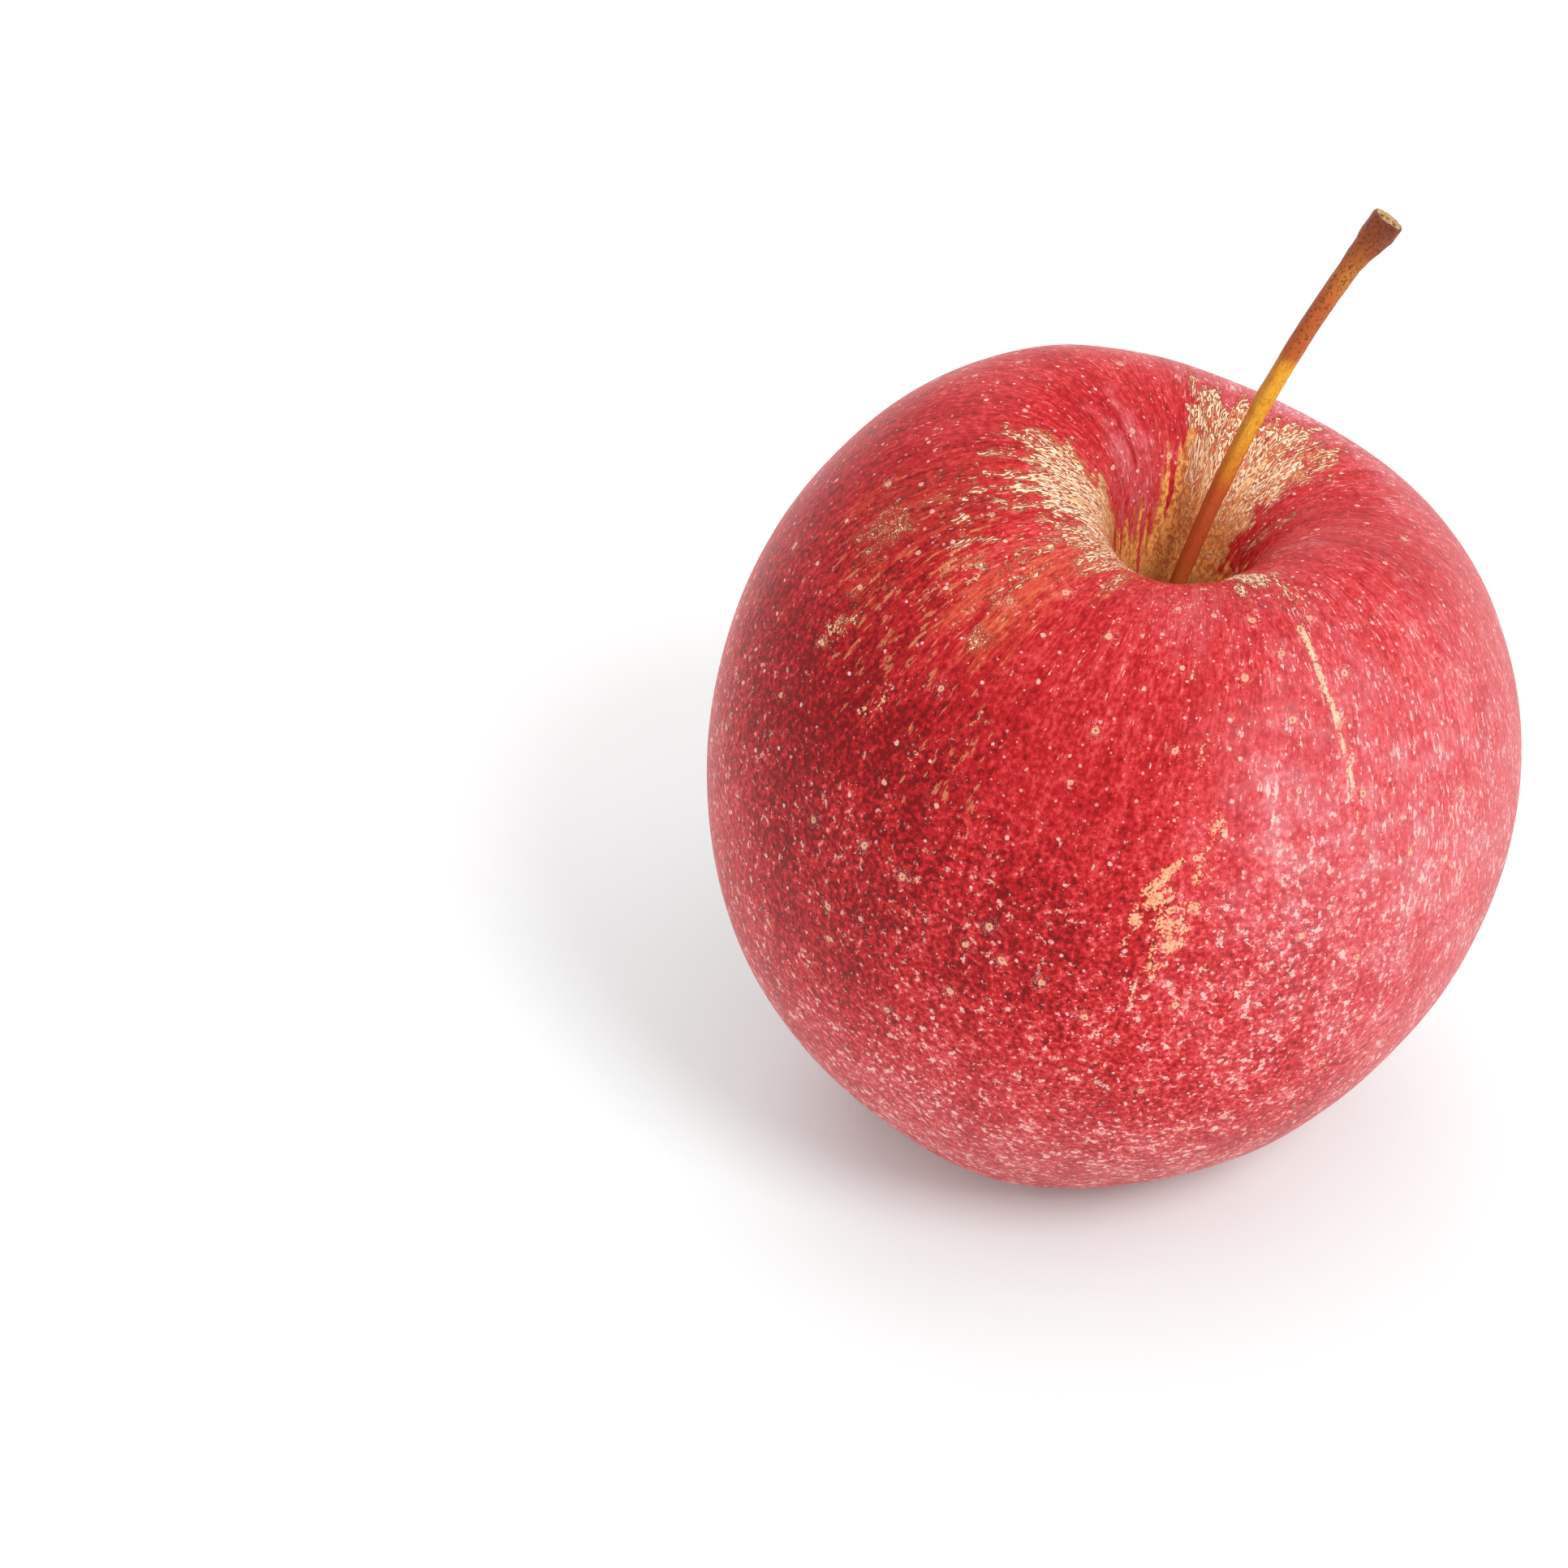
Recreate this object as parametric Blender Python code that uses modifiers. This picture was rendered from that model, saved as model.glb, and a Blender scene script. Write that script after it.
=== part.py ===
# Apple standing on its calyx end, with a long leaning stem.
# Metres, +Z up. The fruit leans towards +X, and the ground is at Z = 0.
# The origin is under the centre of the bounding box.

from math import atan2, cos, pi, sin

import bmesh
import bpy
import numpy as np
from mathutils import Matrix, Vector

# Fruit: the two overall sizes, and where the outline runs between them
GIRTH_RADIUS = 0.0375        # half the width at the widest level
CREST_HEIGHT = 0.0704        # top of the shoulders, measured along the core
GIRTH_LEVEL = 0.505          # widest level, as a share of the crest height
LOWER_FLANK = (0.69, 0.22)   # radius share of the girth, height share of the girth level
UPPER_FLANK = (0.893, 0.602)  # radius share of the girth, height share from girth to crest

# Fruit: the two hollows
BASE_RADIUS = 0.0128         # ring of lobes that the fruit stands on
CALYX_DEPTH = 0.0090         # basin under the fruit
BASIN_WALL = (0.42, 0.62)    # radius share of the base ring, share of the depth
CREST_RADIUS = 0.0157        # ring where the shoulders are highest
CAVITY_DEPTH = 0.0205        # from the crest down to the stem's foot
CAVITY_WALLS = ((0.54, 0.156), (0.352, 0.537), (0.102, 0.927))  # radius and depth shares

# Fruit: how far it is from a turned shape
OVAL = 0.009                 # two-sided share of the radius
OVAL_HEADING = 0.49
THREE_SIDED = 0.018          # three-sided share of the radius
THREE_SIDED_HEADING = 0.74
SHOULDER_WAVE = 0.0020       # one pair of shoulders stands higher than the other
SHOULDER_WAVE_HEADING = 2.39
LOBES = 5
LOBE_HEIGHT = 0.0005         # half the step between a lobe and the valley beside it
LOBE_HEADING = 0.56
LOBE_REACH = 0.4             # share of the crest height where the lobes have faded out
LEAN = 0.238                 # radians at the crest
LEAN_HEADING = -0.143
FLAT_DEPTH = 0.00035         # worn off each lobe's tip, where the fruit stands

# Stem
STEM_LENGTH = 0.0511         # from the cavity's bottom to the broken end
STEM_LEANS = (0.258, 0.450, 0.644)   # radians from upright at the foot, node and tip
STEM_NODE = 0.6              # share of the length
STEM_HEADING = 0.27
STEM_FOOT_RADIUS = 0.00076
STEM_SHANK_RADIUS = 0.00078
STEM_NECK_RADIUS = 0.00096
STEM_KNOB_RADIUS = 0.00160
STEM_KNOB_LENGTH = 0.0050
STEM_SEAT_DEPTH = 0.0030     # how far the foot reaches into the flesh

# Calyx
SEPAL_WIDTH = 0.0028
SEPAL_LENGTH = 0.0060
SEPAL_THICKNESS = 0.0004
SEPAL_WAIST = 0.2            # share of the ring radius drawn in halfway down
SEPAL_FLARE = 0.45           # share of the ring radius that the tip bends out
SEPAL_CURL = 0.12            # share of the length lost as the tip bends
SEPAL_TAPER = 0.88           # share of the width lost at the tip
CALYX_LIP = 0.0006           # flesh between the sepals and the tube
TUBE_DEPTH = 0.0045
TUFT_CLEARANCE = 0.0006      # round the stamens, inside the tube
TUFT_REACH = 0.0024          # how far the stamens stand out of the tube
TUFT_TOP = 0.8               # shares of the tuft's radius
TUFT_WAIST = 0.85
TUFT_TIP = 0.6

GAP = 0.0003                 # between pieces that seat on each other

# Facets
OUTLINE_STEPS = 42
TURN_STEPS = 64
STEM_STEPS = 26
SPINE_STEPS = 241
SEPAL_STEPS = (9, 4)         # along, across

SEPAL_RING_RADIUS = LOBES * (SEPAL_WIDTH + GAP) / (2 * pi) + SEPAL_THICKNESS / 2
TUBE_RADIUS = SEPAL_RING_RADIUS - SEPAL_THICKNESS / 2 - CALYX_LIP
TUFT_RADIUS = TUBE_RADIUS - TUFT_CLEARANCE


def clear_scene():
    for old in list(bpy.data.objects):
        bpy.data.objects.remove(old, do_unlink=True)


def new_collection(name):
    collection = bpy.data.collections.new(name)
    bpy.context.scene.collection.children.link(collection)
    return collection


def new_material(name, color, roughness):
    material = bpy.data.materials.new(name)
    material.use_nodes = True
    shader = material.node_tree.nodes["Principled BSDF"]
    shader.inputs["Base Color"].default_value = (*color, 1.0)
    shader.inputs["Roughness"].default_value = roughness
    shader.inputs["Metallic"].default_value = 0.0
    return material


def add_object(name, mesh, collection, material=None):
    piece = bpy.data.objects.new(name, mesh)
    collection.objects.link(piece)
    if material:
        mesh.materials.append(material)
        mesh.shade_smooth()
    return piece


def add_cutter(name, mesh, collection):
    cutter = add_object(name, mesh, collection)
    cutter.hide_render = True
    cutter.display_type = "WIRE"
    return cutter


def cut(piece, cutter):
    boolean = piece.modifiers.new(cutter.name, "BOOLEAN")
    boolean.operation = "DIFFERENCE"
    boolean.solver = "EXACT"
    boolean.object = cutter


# A plain mesh of the object as its modifiers leave it, with coincident points joined.
def applied_mesh(piece, name):
    graph = bpy.context.evaluated_depsgraph_get()
    mesh = bpy.data.meshes.new_from_object(piece.evaluated_get(graph))
    mesh.name = name
    shape = bmesh.new()
    shape.from_mesh(mesh)
    bmesh.ops.remove_doubles(shape, verts=shape.verts, dist=1e-6)
    bmesh.ops.recalc_face_normals(shape, faces=shape.faces)
    shape.to_mesh(mesh)
    shape.free()
    source = piece.data
    bpy.data.objects.remove(piece, do_unlink=True)
    if isinstance(source, bpy.types.Curve):
        bpy.data.curves.remove(source)
    else:
        bpy.data.meshes.remove(source)
    return mesh


# A profile in the XZ plane, turned once round Z. It runs from top to bottom.
def turned_mesh(name, profile, collection):
    edges = [(i, i + 1) for i in range(len(profile) - 1)]
    mesh = bpy.data.meshes.new(name)
    mesh.from_pydata([(radius, 0.0, height) for radius, height in profile], edges, [])
    turned = add_object(name, mesh, collection)
    screw = turned.modifiers.new("turn", "SCREW")
    screw.axis = "Z"
    screw.steps = TURN_STEPS
    screw.render_steps = TURN_STEPS
    screw.use_merge_vertices = True
    screw.merge_threshold = 1e-6
    return applied_mesh(turned, name)


# A smooth curve through the points, level where it starts, at evenly spaced lengths.
def smooth_curve(points, steps):
    points = np.array(points)
    last = len(points) - 1
    spans = np.linalg.norm(np.diff(points, axis=0), axis=1)
    slopes = np.diff(points, axis=0) / spans[:, None]
    matrix = np.zeros((last + 1, last + 1))
    sides = np.zeros((last + 1, 2))
    matrix[0, :2] = 2 * spans[0], spans[0]
    sides[0] = 6 * (slopes[0] - (1.0, 0.0))
    matrix[last, last] = 1
    for i in range(1, last):
        matrix[i, i - 1:i + 2] = spans[i - 1], 2 * (spans[i - 1] + spans[i]), spans[i]
        sides[i] = 6 * (slopes[i] - slopes[i - 1])
    bends = np.linalg.solve(matrix, sides)
    knots = np.concatenate(([0.0], np.cumsum(spans)))
    curve = []
    for length in np.linspace(0, knots[-1], steps):
        i = min(int(np.searchsorted(knots, length, side="right")) - 1, last - 1)
        after, before, span = length - knots[i], knots[i + 1] - length, spans[i]
        bend = (bends[i] * before ** 3 + bends[i + 1] * after ** 3) / (6 * span)
        start = (points[i] / span - bends[i] * span / 6) * before
        end = (points[i + 1] / span - bends[i + 1] * span / 6) * after
        curve.append(bend + start + end)
    return curve


# The fruit's outline from the calyx's centre, under the base, up the flank, over the crest
# and down into the stem cavity.
def fruit_outline():
    girth_height = GIRTH_LEVEL * CREST_HEIGHT
    shoulder_height = girth_height + UPPER_FLANK[1] * (CREST_HEIGHT - girth_height)
    points = [
        (0.0, CALYX_DEPTH),
        (BASIN_WALL[0] * BASE_RADIUS, BASIN_WALL[1] * CALYX_DEPTH),
        (BASE_RADIUS, 0.0),
        (LOWER_FLANK[0] * GIRTH_RADIUS, LOWER_FLANK[1] * girth_height),
        (GIRTH_RADIUS, girth_height),
        (UPPER_FLANK[0] * GIRTH_RADIUS, shoulder_height),
        (CREST_RADIUS, CREST_HEIGHT),
    ]
    for radius_share, depth_share in CAVITY_WALLS:
        points.append((radius_share * CREST_RADIUS, CREST_HEIGHT - depth_share * CAVITY_DEPTH))
    points.append((0.0, CREST_HEIGHT - CAVITY_DEPTH))
    outline = smooth_curve(points, OUTLINE_STEPS)
    return [(max(float(radius), 0.0), float(height)) for radius, height in outline]


# Sideways shift, height and lean of the core at a level: upright at the ground, and leaning
# more and more up to the crest.
def core_at(height):
    shares = np.linspace(0.0, 1.2, SPINE_STEPS)
    leans = LEAN * (1 - (1 - np.minimum(shares, 1.0)) ** 2)
    step = CREST_HEIGHT * (shares[1] - shares[0])
    shifts = np.concatenate(([0.0], np.cumsum(np.sin((leans[1:] + leans[:-1]) / 2) * step)))
    heights = np.concatenate(([0.0], np.cumsum(np.cos((leans[1:] + leans[:-1]) / 2) * step)))
    share = max(height, 0.0) / CREST_HEIGHT
    lean = float(np.interp(share, shares, leans))
    return float(np.interp(share, shares, shifts)), float(np.interp(share, shares, heights)), lean


def fade_in(value):
    value = min(max(value, 0.0), 1.0)
    return value * value * (3 - 2 * value)


# Where a point of the turned shape has grown to: out of round, lobed and leaning.
def grown(point):
    radius, heading, height = point.xy.length, atan2(point.y, point.x), point.z
    swelling = 1 + OVAL * cos(2 * (heading - OVAL_HEADING))
    swelling += THREE_SIDED * cos(3 * (heading - THREE_SIDED_HEADING))
    girth_height = GIRTH_LEVEL * CREST_HEIGHT
    rise = min(max((height - girth_height) / (CREST_HEIGHT - girth_height), 0.0), 1.0)
    wave = SHOULDER_WAVE * cos(2 * (heading - SHOULDER_WAVE_HEADING))
    wave *= rise * fade_in(radius / (CAVITY_WALLS[0][0] * CREST_RADIUS))
    valley = LOBE_HEIGHT * (1 - cos(LOBES * (heading - LOBE_HEADING)))
    valley *= max(1 - height / (LOBE_REACH * CREST_HEIGHT), 0.0) ** 2
    valley *= fade_in(radius / BASE_RADIUS)
    shift, core_height, lean = core_at(height + wave + valley)
    along = radius * swelling * cos(heading - LEAN_HEADING)
    across = radius * swelling * sin(heading - LEAN_HEADING)
    forward = shift + along * cos(lean)
    upward = core_height - along * sin(lean) - FLAT_DEPTH
    turned = Matrix.Rotation(LEAN_HEADING, 3, "Z") @ Vector((forward, across, 0.0))
    return Vector((turned.x, turned.y, upward))


def grow_mesh(mesh):
    for vertex in mesh.vertices:
        vertex.co = grown(vertex.co)
    mesh.update()


def stem_direction(share):
    if share < STEM_NODE:
        lean = np.interp(share, (0.0, STEM_NODE), STEM_LEANS[:2])
    else:
        lean = np.interp(share, (STEM_NODE, 1.0), STEM_LEANS[1:])
    flat = sin(lean)
    return Vector((flat * cos(STEM_HEADING), flat * sin(STEM_HEADING), cos(lean)))


def stem_radius(share):
    knob_start = 1 - STEM_KNOB_LENGTH / STEM_LENGTH
    if share < knob_start:
        stations = (0.0, STEM_NODE / 2, knob_start)
        return float(np.interp(share, stations,
                               (STEM_FOOT_RADIUS, STEM_SHANK_RADIUS, STEM_NECK_RADIUS)))
    swelling = fade_in((share - knob_start) / (1 - knob_start))
    return STEM_NECK_RADIUS + (STEM_KNOB_RADIUS - STEM_NECK_RADIUS) * swelling


# A closed tube along the points, with its own radius at each of them.
def tube_mesh(name, points, radii, collection):
    curve = bpy.data.curves.new(name, "CURVE")
    curve.dimensions = "3D"
    curve.bevel_depth = 1.0
    curve.bevel_resolution = 4
    curve.use_fill_caps = True
    spline = curve.splines.new("POLY")
    spline.points.add(len(points) - 1)
    for node, point, radius in zip(spline.points, points, radii):
        node.co = (*point, 1.0)
        node.radius = radius
    tube = bpy.data.objects.new(name, curve)
    collection.objects.link(tube)
    return applied_mesh(tube, name)


# The stem rises from its seat in the flesh, bends over at its node and ends in a knob.
def build_stem(foot, parts, cutters, material):
    points = [foot - stem_direction(0.0) * (STEM_SEAT_DEPTH - GAP), foot]
    radii = [STEM_FOOT_RADIUS, STEM_FOOT_RADIUS]
    step = STEM_LENGTH / STEM_STEPS
    for i in range(STEM_STEPS):
        points.append(points[-1] + stem_direction((i + 0.5) / STEM_STEPS) * step)
        radii.append(stem_radius((i + 1) / STEM_STEPS))
    stem = add_object("stem", tube_mesh("stem", points, radii, parts), parts, material)
    bottom = foot - stem_direction(0.0) * STEM_SEAT_DEPTH
    mouth = foot + stem_direction(0.0) * STEM_SEAT_DEPTH
    seat_radius = STEM_FOOT_RADIUS + GAP
    seat = tube_mesh("stem_seat", [bottom, mouth], [seat_radius, seat_radius], cutters)
    return stem, add_cutter("stem_seat", seat, cutters)


def build_fruit(outline, parts, material):
    mesh = turned_mesh("fruit", outline[::-1], parts)
    grow_mesh(mesh)
    return add_object("fruit", mesh, parts, material)


def ground_cutter(cutters):
    side = 4 * GIRTH_RADIUS
    mesh = bpy.data.meshes.new("ground")
    shape = bmesh.new()
    bmesh.ops.create_cube(shape, size=side, matrix=Matrix.Translation((0.0, 0.0, -side / 2)))
    shape.to_mesh(mesh)
    shape.free()
    return add_cutter("ground", mesh, cutters)


def basin_floor(outline, radius):
    under = outline[:outline.index(min(outline, key=lambda point: point[1])) + 1]
    radii = [point[0] for point in under]
    heights = [point[1] for point in under]
    return float(np.interp(radius, radii, heights))


def tube_cutter(cutters):
    top = CALYX_DEPTH + TUBE_DEPTH
    bottom = CALYX_DEPTH / 2
    profile = [(0.0, top), (TUBE_RADIUS, top), (TUBE_RADIUS, bottom), (0.0, bottom)]
    mesh = turned_mesh("calyx_tube", profile, cutters)
    grow_mesh(mesh)
    return add_cutter("calyx_tube", mesh, cutters)


# A dried sepal: it stands on the basin's floor, closes in over the tube and turns out at
# its tip. It is a curved blade round the core, thickened to both sides.
def build_sepal(index, outline, parts, material):
    rows, columns = SEPAL_STEPS
    base_height = basin_floor(outline, SEPAL_RING_RADIUS + SEPAL_THICKNESS / 2) - GAP
    middle = LOBE_HEADING + 2 * pi * index / LOBES
    mesh = bpy.data.meshes.new(f"sepal_{index + 1}")
    shape = bmesh.new()
    grid = []
    for row in range(rows + 1):
        share = row / rows
        radius = SEPAL_RING_RADIUS * (1 - SEPAL_WAIST * sin(pi * share) + SEPAL_FLARE * share ** 3)
        height = base_height - SEPAL_LENGTH * share * (1 - SEPAL_CURL * share ** 2)
        half_angle = SEPAL_WIDTH / 2 / SEPAL_RING_RADIUS * (1 - SEPAL_TAPER * share ** 1.3)
        line = []
        for column in range(columns + 1):
            heading = middle + half_angle * (2 * column / columns - 1)
            point = Vector((radius * cos(heading), radius * sin(heading), height))
            line.append(shape.verts.new(grown(point)))
        grid.append(line)
    for lower, upper in zip(grid, grid[1:]):
        for column in range(columns):
            shape.faces.new((lower[column], upper[column], upper[column + 1], lower[column + 1]))
    shape.to_mesh(mesh)
    shape.free()
    sepal = add_object(mesh.name, mesh, parts, material)
    solidify = sepal.modifiers.new("thickness", "SOLIDIFY")
    solidify.thickness = SEPAL_THICKNESS
    solidify.offset = 0.0
    return sepal


# The dried stamens and styles, as the one bundle that they make.
def build_tuft(parts, material):
    top = CALYX_DEPTH + TUBE_DEPTH - GAP
    mouth = CALYX_DEPTH
    tip = mouth - TUFT_REACH
    profile = [
        (0.0, top),
        (TUFT_RADIUS * TUFT_TOP, top),
        (TUFT_RADIUS, (top + mouth) / 2),
        (TUFT_RADIUS * TUFT_WAIST, mouth),
        (TUFT_RADIUS, (mouth + tip) / 2),
        (TUFT_RADIUS * TUFT_TIP, tip),
        (0.0, tip),
    ]
    mesh = turned_mesh("stamen_tuft", profile, parts)
    grow_mesh(mesh)
    return add_object("stamen_tuft", mesh, parts, material)


# Every piece hangs on one empty, which brings the bounding box's centre over the origin.
def centre_on_origin(pieces, parts):
    low = [min((vertex.co[axis] for piece in pieces for vertex in piece.data.vertices))
           for axis in (0, 1)]
    high = [max((vertex.co[axis] for piece in pieces for vertex in piece.data.vertices))
            for axis in (0, 1)]
    frame = bpy.data.objects.new("apple_frame", None)
    parts.objects.link(frame)
    frame.location = (-(low[0] + high[0]) / 2, -(low[1] + high[1]) / 2, 0.0)
    return frame


def main():
    clear_scene()
    parts = new_collection("apple")
    cutters = new_collection("apple_cutters")
    skin = new_material("apple_skin", (0.50, 0.035, 0.055), 0.38)
    bark = new_material("stem_bark", (0.42, 0.16, 0.03), 0.55)
    husk = new_material("sepal_husk", (0.16, 0.09, 0.04), 0.85)
    floss = new_material("stamen_floss", (0.10, 0.06, 0.03), 0.90)

    outline = fruit_outline()
    fruit = build_fruit(outline, parts, skin)
    foot = grown(Vector((0.0, 0.0, CREST_HEIGHT - CAVITY_DEPTH)))
    stem, seat = build_stem(foot, parts, cutters, bark)
    ground = ground_cutter(cutters)
    calyx_tube = tube_cutter(cutters)
    for cutter in (ground, calyx_tube, seat):
        cut(fruit, cutter)
    pieces = [fruit, stem]
    for index in range(LOBES):
        pieces.append(build_sepal(index, outline, parts, husk))
    pieces.append(build_tuft(parts, floss))

    frame = centre_on_origin([fruit, stem], parts)
    for piece in pieces + [ground, calyx_tube, seat]:
        piece.parent = frame


main()
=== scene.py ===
# A red apple with a long stem, on a pale table: fine skin, stem and calyx round the frame.
import math
import random

import bpy
import numpy as np
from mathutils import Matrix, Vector, noise
from mathutils.kdtree import KDTree


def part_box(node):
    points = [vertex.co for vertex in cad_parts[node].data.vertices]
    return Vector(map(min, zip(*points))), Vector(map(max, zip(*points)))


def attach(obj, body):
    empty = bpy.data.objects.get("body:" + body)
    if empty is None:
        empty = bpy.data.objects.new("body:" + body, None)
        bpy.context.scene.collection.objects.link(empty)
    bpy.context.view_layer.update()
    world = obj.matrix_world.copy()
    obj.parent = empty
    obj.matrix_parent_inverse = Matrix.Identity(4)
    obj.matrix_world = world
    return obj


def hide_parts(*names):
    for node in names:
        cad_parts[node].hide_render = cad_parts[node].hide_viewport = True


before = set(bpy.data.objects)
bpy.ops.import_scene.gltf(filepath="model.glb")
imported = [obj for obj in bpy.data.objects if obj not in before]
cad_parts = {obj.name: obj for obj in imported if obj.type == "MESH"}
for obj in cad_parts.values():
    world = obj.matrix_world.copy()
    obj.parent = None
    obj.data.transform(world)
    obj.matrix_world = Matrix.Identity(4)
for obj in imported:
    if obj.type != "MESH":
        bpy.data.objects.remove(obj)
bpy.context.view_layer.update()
scene = bpy.context.scene
print("frame loaded:", ", ".join(sorted(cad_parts)))


# a finished piece: one mesh that stands in for one solid and rides on its body
def addPiece(name, verts, faces, replaced, slot):
    mesh = bpy.data.meshes.new(name)
    mesh.from_pydata([tuple(v) for v in verts], [], faces)
    mesh.validate()
    mesh.shade_smooth()
    piece = bpy.data.objects.new(name, mesh)
    scene.collection.objects.link(piece)
    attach(piece, "root")
    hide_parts(replaced)
    return piece


# an S-curve from 0 to 1
def fadeIn(value):
    value = np.clip(value, 0.0, 1.0)
    return value * value * (3 - 2 * value)


# value rises from 0 to 1 between low and high
def rise(value, low, high):
    return fadeIn((value - low) / (high - low))


# faces of a grid of points, row by row, closed round when the rows are rings
def gridFaces(rows, columns, closed=True):
    faces = []
    for row in range(rows - 1):
        for column in range(columns if closed else columns - 1):
            after = (column + 1) % columns
            here = row * columns
            above = here + columns
            faces.append((here + column, here + after, above + after, above + column))
    return faces


# the fruit grows by the same rules as the solid, at a much finer step; metres and radians
fruitForm = {
    "girthRadius": 0.0375,
    "crestHeight": 0.0704,
    "girthLevel": 0.505,
    "lowerFlank": (0.69, 0.22),
    "upperFlank": (0.893, 0.602),
    "baseRadius": 0.0128,
    "calyxDepth": 0.0090,
    "basinWall": (0.42, 0.62),
    "crestRadius": 0.0157,
    "cavityDepth": 0.0205,
    "cavityWalls": ((0.54, 0.156), (0.352, 0.537), (0.102, 0.927)),
    "oval": (0.009, 0.49),
    "threeSided": (0.018, 0.74),
    "shoulderWave": (0.0020, 2.39),
    "lobeHeight": 0.0005,
    "lobeHeading": 0.56,
    "lobeReach": 0.4,
    "lean": 0.238,
    "leanHeading": -0.143,
    "flatDepth": 0.00035,
    "tubeRadius": 0.00187,
    "tubeDepth": 0.0045,
    "socketRadius": 0.00106,
    "socketDepth": 0.0024,
    "swells": ((0.020, 0.00032), (0.008, 0.00009)),
    "flutes": ((2.4, 1.5, 0.00020, 0.62, 0.80), (9.0, 2.5, 0.00005, 0.70, 0.84)),
    "columns": 360,
    "outlineRows": 236,
}


# a smooth curve through points, level where it starts and free where it ends
def smoothCurve(points, steps):
    points = np.array(points)
    last = len(points) - 1
    spans = np.linalg.norm(np.diff(points, axis=0), axis=1)
    slopes = np.diff(points, axis=0) / spans[:, None]
    matrix = np.zeros((last + 1, last + 1))
    sides = np.zeros((last + 1, 2))
    matrix[0, :2] = 2 * spans[0], spans[0]
    sides[0] = 6 * (slopes[0] - (1.0, 0.0))
    matrix[last, last] = 1
    for i in range(1, last):
        matrix[i, i - 1:i + 2] = spans[i - 1], 2 * (spans[i - 1] + spans[i]), spans[i]
        sides[i] = 6 * (slopes[i] - slopes[i - 1])
    bends = np.linalg.solve(matrix, sides)
    knots = np.concatenate(([0.0], np.cumsum(spans)))
    lengths = np.linspace(0, knots[-1], steps)
    i = np.clip(np.searchsorted(knots, lengths, side="right") - 1, 0, last - 1)
    after = (lengths - knots[i])[:, None]
    before = (knots[i + 1] - lengths)[:, None]
    span = spans[i][:, None]
    curve = (bends[i] * before ** 3 + bends[i + 1] * after ** 3) / (6 * span)
    curve += (points[i] / span - bends[i] * span / 6) * before
    curve += (points[i + 1] / span - bends[i + 1] * span / 6) * after
    return curve


# radius, height and share of the way from calyx to stem, for each ring of the fruit
def fruitRings(form):
    crest = form["crestHeight"]
    girthHeight = form["girthLevel"] * crest
    shoulder = girthHeight + form["upperFlank"][1] * (crest - girthHeight)
    points = [
        (0.0, form["calyxDepth"]),
        (form["basinWall"][0] * form["baseRadius"], form["basinWall"][1] * form["calyxDepth"]),
        (form["baseRadius"], 0.0),
        (form["lowerFlank"][0] * form["girthRadius"], form["lowerFlank"][1] * girthHeight),
        (form["girthRadius"], girthHeight),
        (form["upperFlank"][0] * form["girthRadius"], shoulder),
        (form["crestRadius"], crest),
    ]
    for radiusShare, depthShare in form["cavityWalls"]:
        points.append((radiusShare * form["crestRadius"], crest - depthShare * form["cavityDepth"]))
    points.append((0.0, crest - form["cavityDepth"]))
    outline = smoothCurve(points, form["outlineRows"])
    shares = np.linspace(0.0, 1.0, form["outlineRows"])
    tube, socket = form["tubeRadius"], form["socketRadius"]
    count = len(shares)
    inner = next(i for i in range(count) if outline[i, 0] > tube * 1.12)
    outer = next(i for i in range(count - 1, 0, -1) if outline[i, 0] > socket * 1.25)
    tubeTop = form["calyxDepth"] + form["tubeDepth"]
    tubeMouth = outline[inner, 1] + 0.0001
    rings = [(tube * 0.5, tubeTop, 0.0), (tube * 0.93, tubeTop, 0.0)]
    for step in range(9):
        rings.append((tube, tubeTop - 0.0003 + (tubeMouth - tubeTop + 0.0003) * step / 8, 0.0))
    rings += [(outline[i, 0], outline[i, 1], shares[i]) for i in range(inner, outer + 1)]
    socketMouth = outline[outer, 1]
    for step in range(1, 6):
        rings.append((socket, socketMouth - form["socketDepth"] * step / 5, 1.0))
    rings.append((socket * 0.5, socketMouth - form["socketDepth"], 1.0))
    return np.array(rings)


# shift and height of the leaning core at each height, and its lean there
def coreAt(height, form):
    crest = form["crestHeight"]
    shares = np.linspace(0.0, 1.2, 241)
    leans = form["lean"] * (1 - (1 - np.minimum(shares, 1.0)) ** 2)
    middle = (leans[1:] + leans[:-1]) / 2
    step = crest * (shares[1] - shares[0])
    shifts = np.concatenate(([0.0], np.cumsum(np.sin(middle) * step)))
    heights = np.concatenate(([0.0], np.cumsum(np.cos(middle) * step)))
    share = np.maximum(height, 0.0) / crest
    return (np.interp(share, shares, shifts), np.interp(share, shares, heights),
            np.interp(share, shares, leans))


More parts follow.
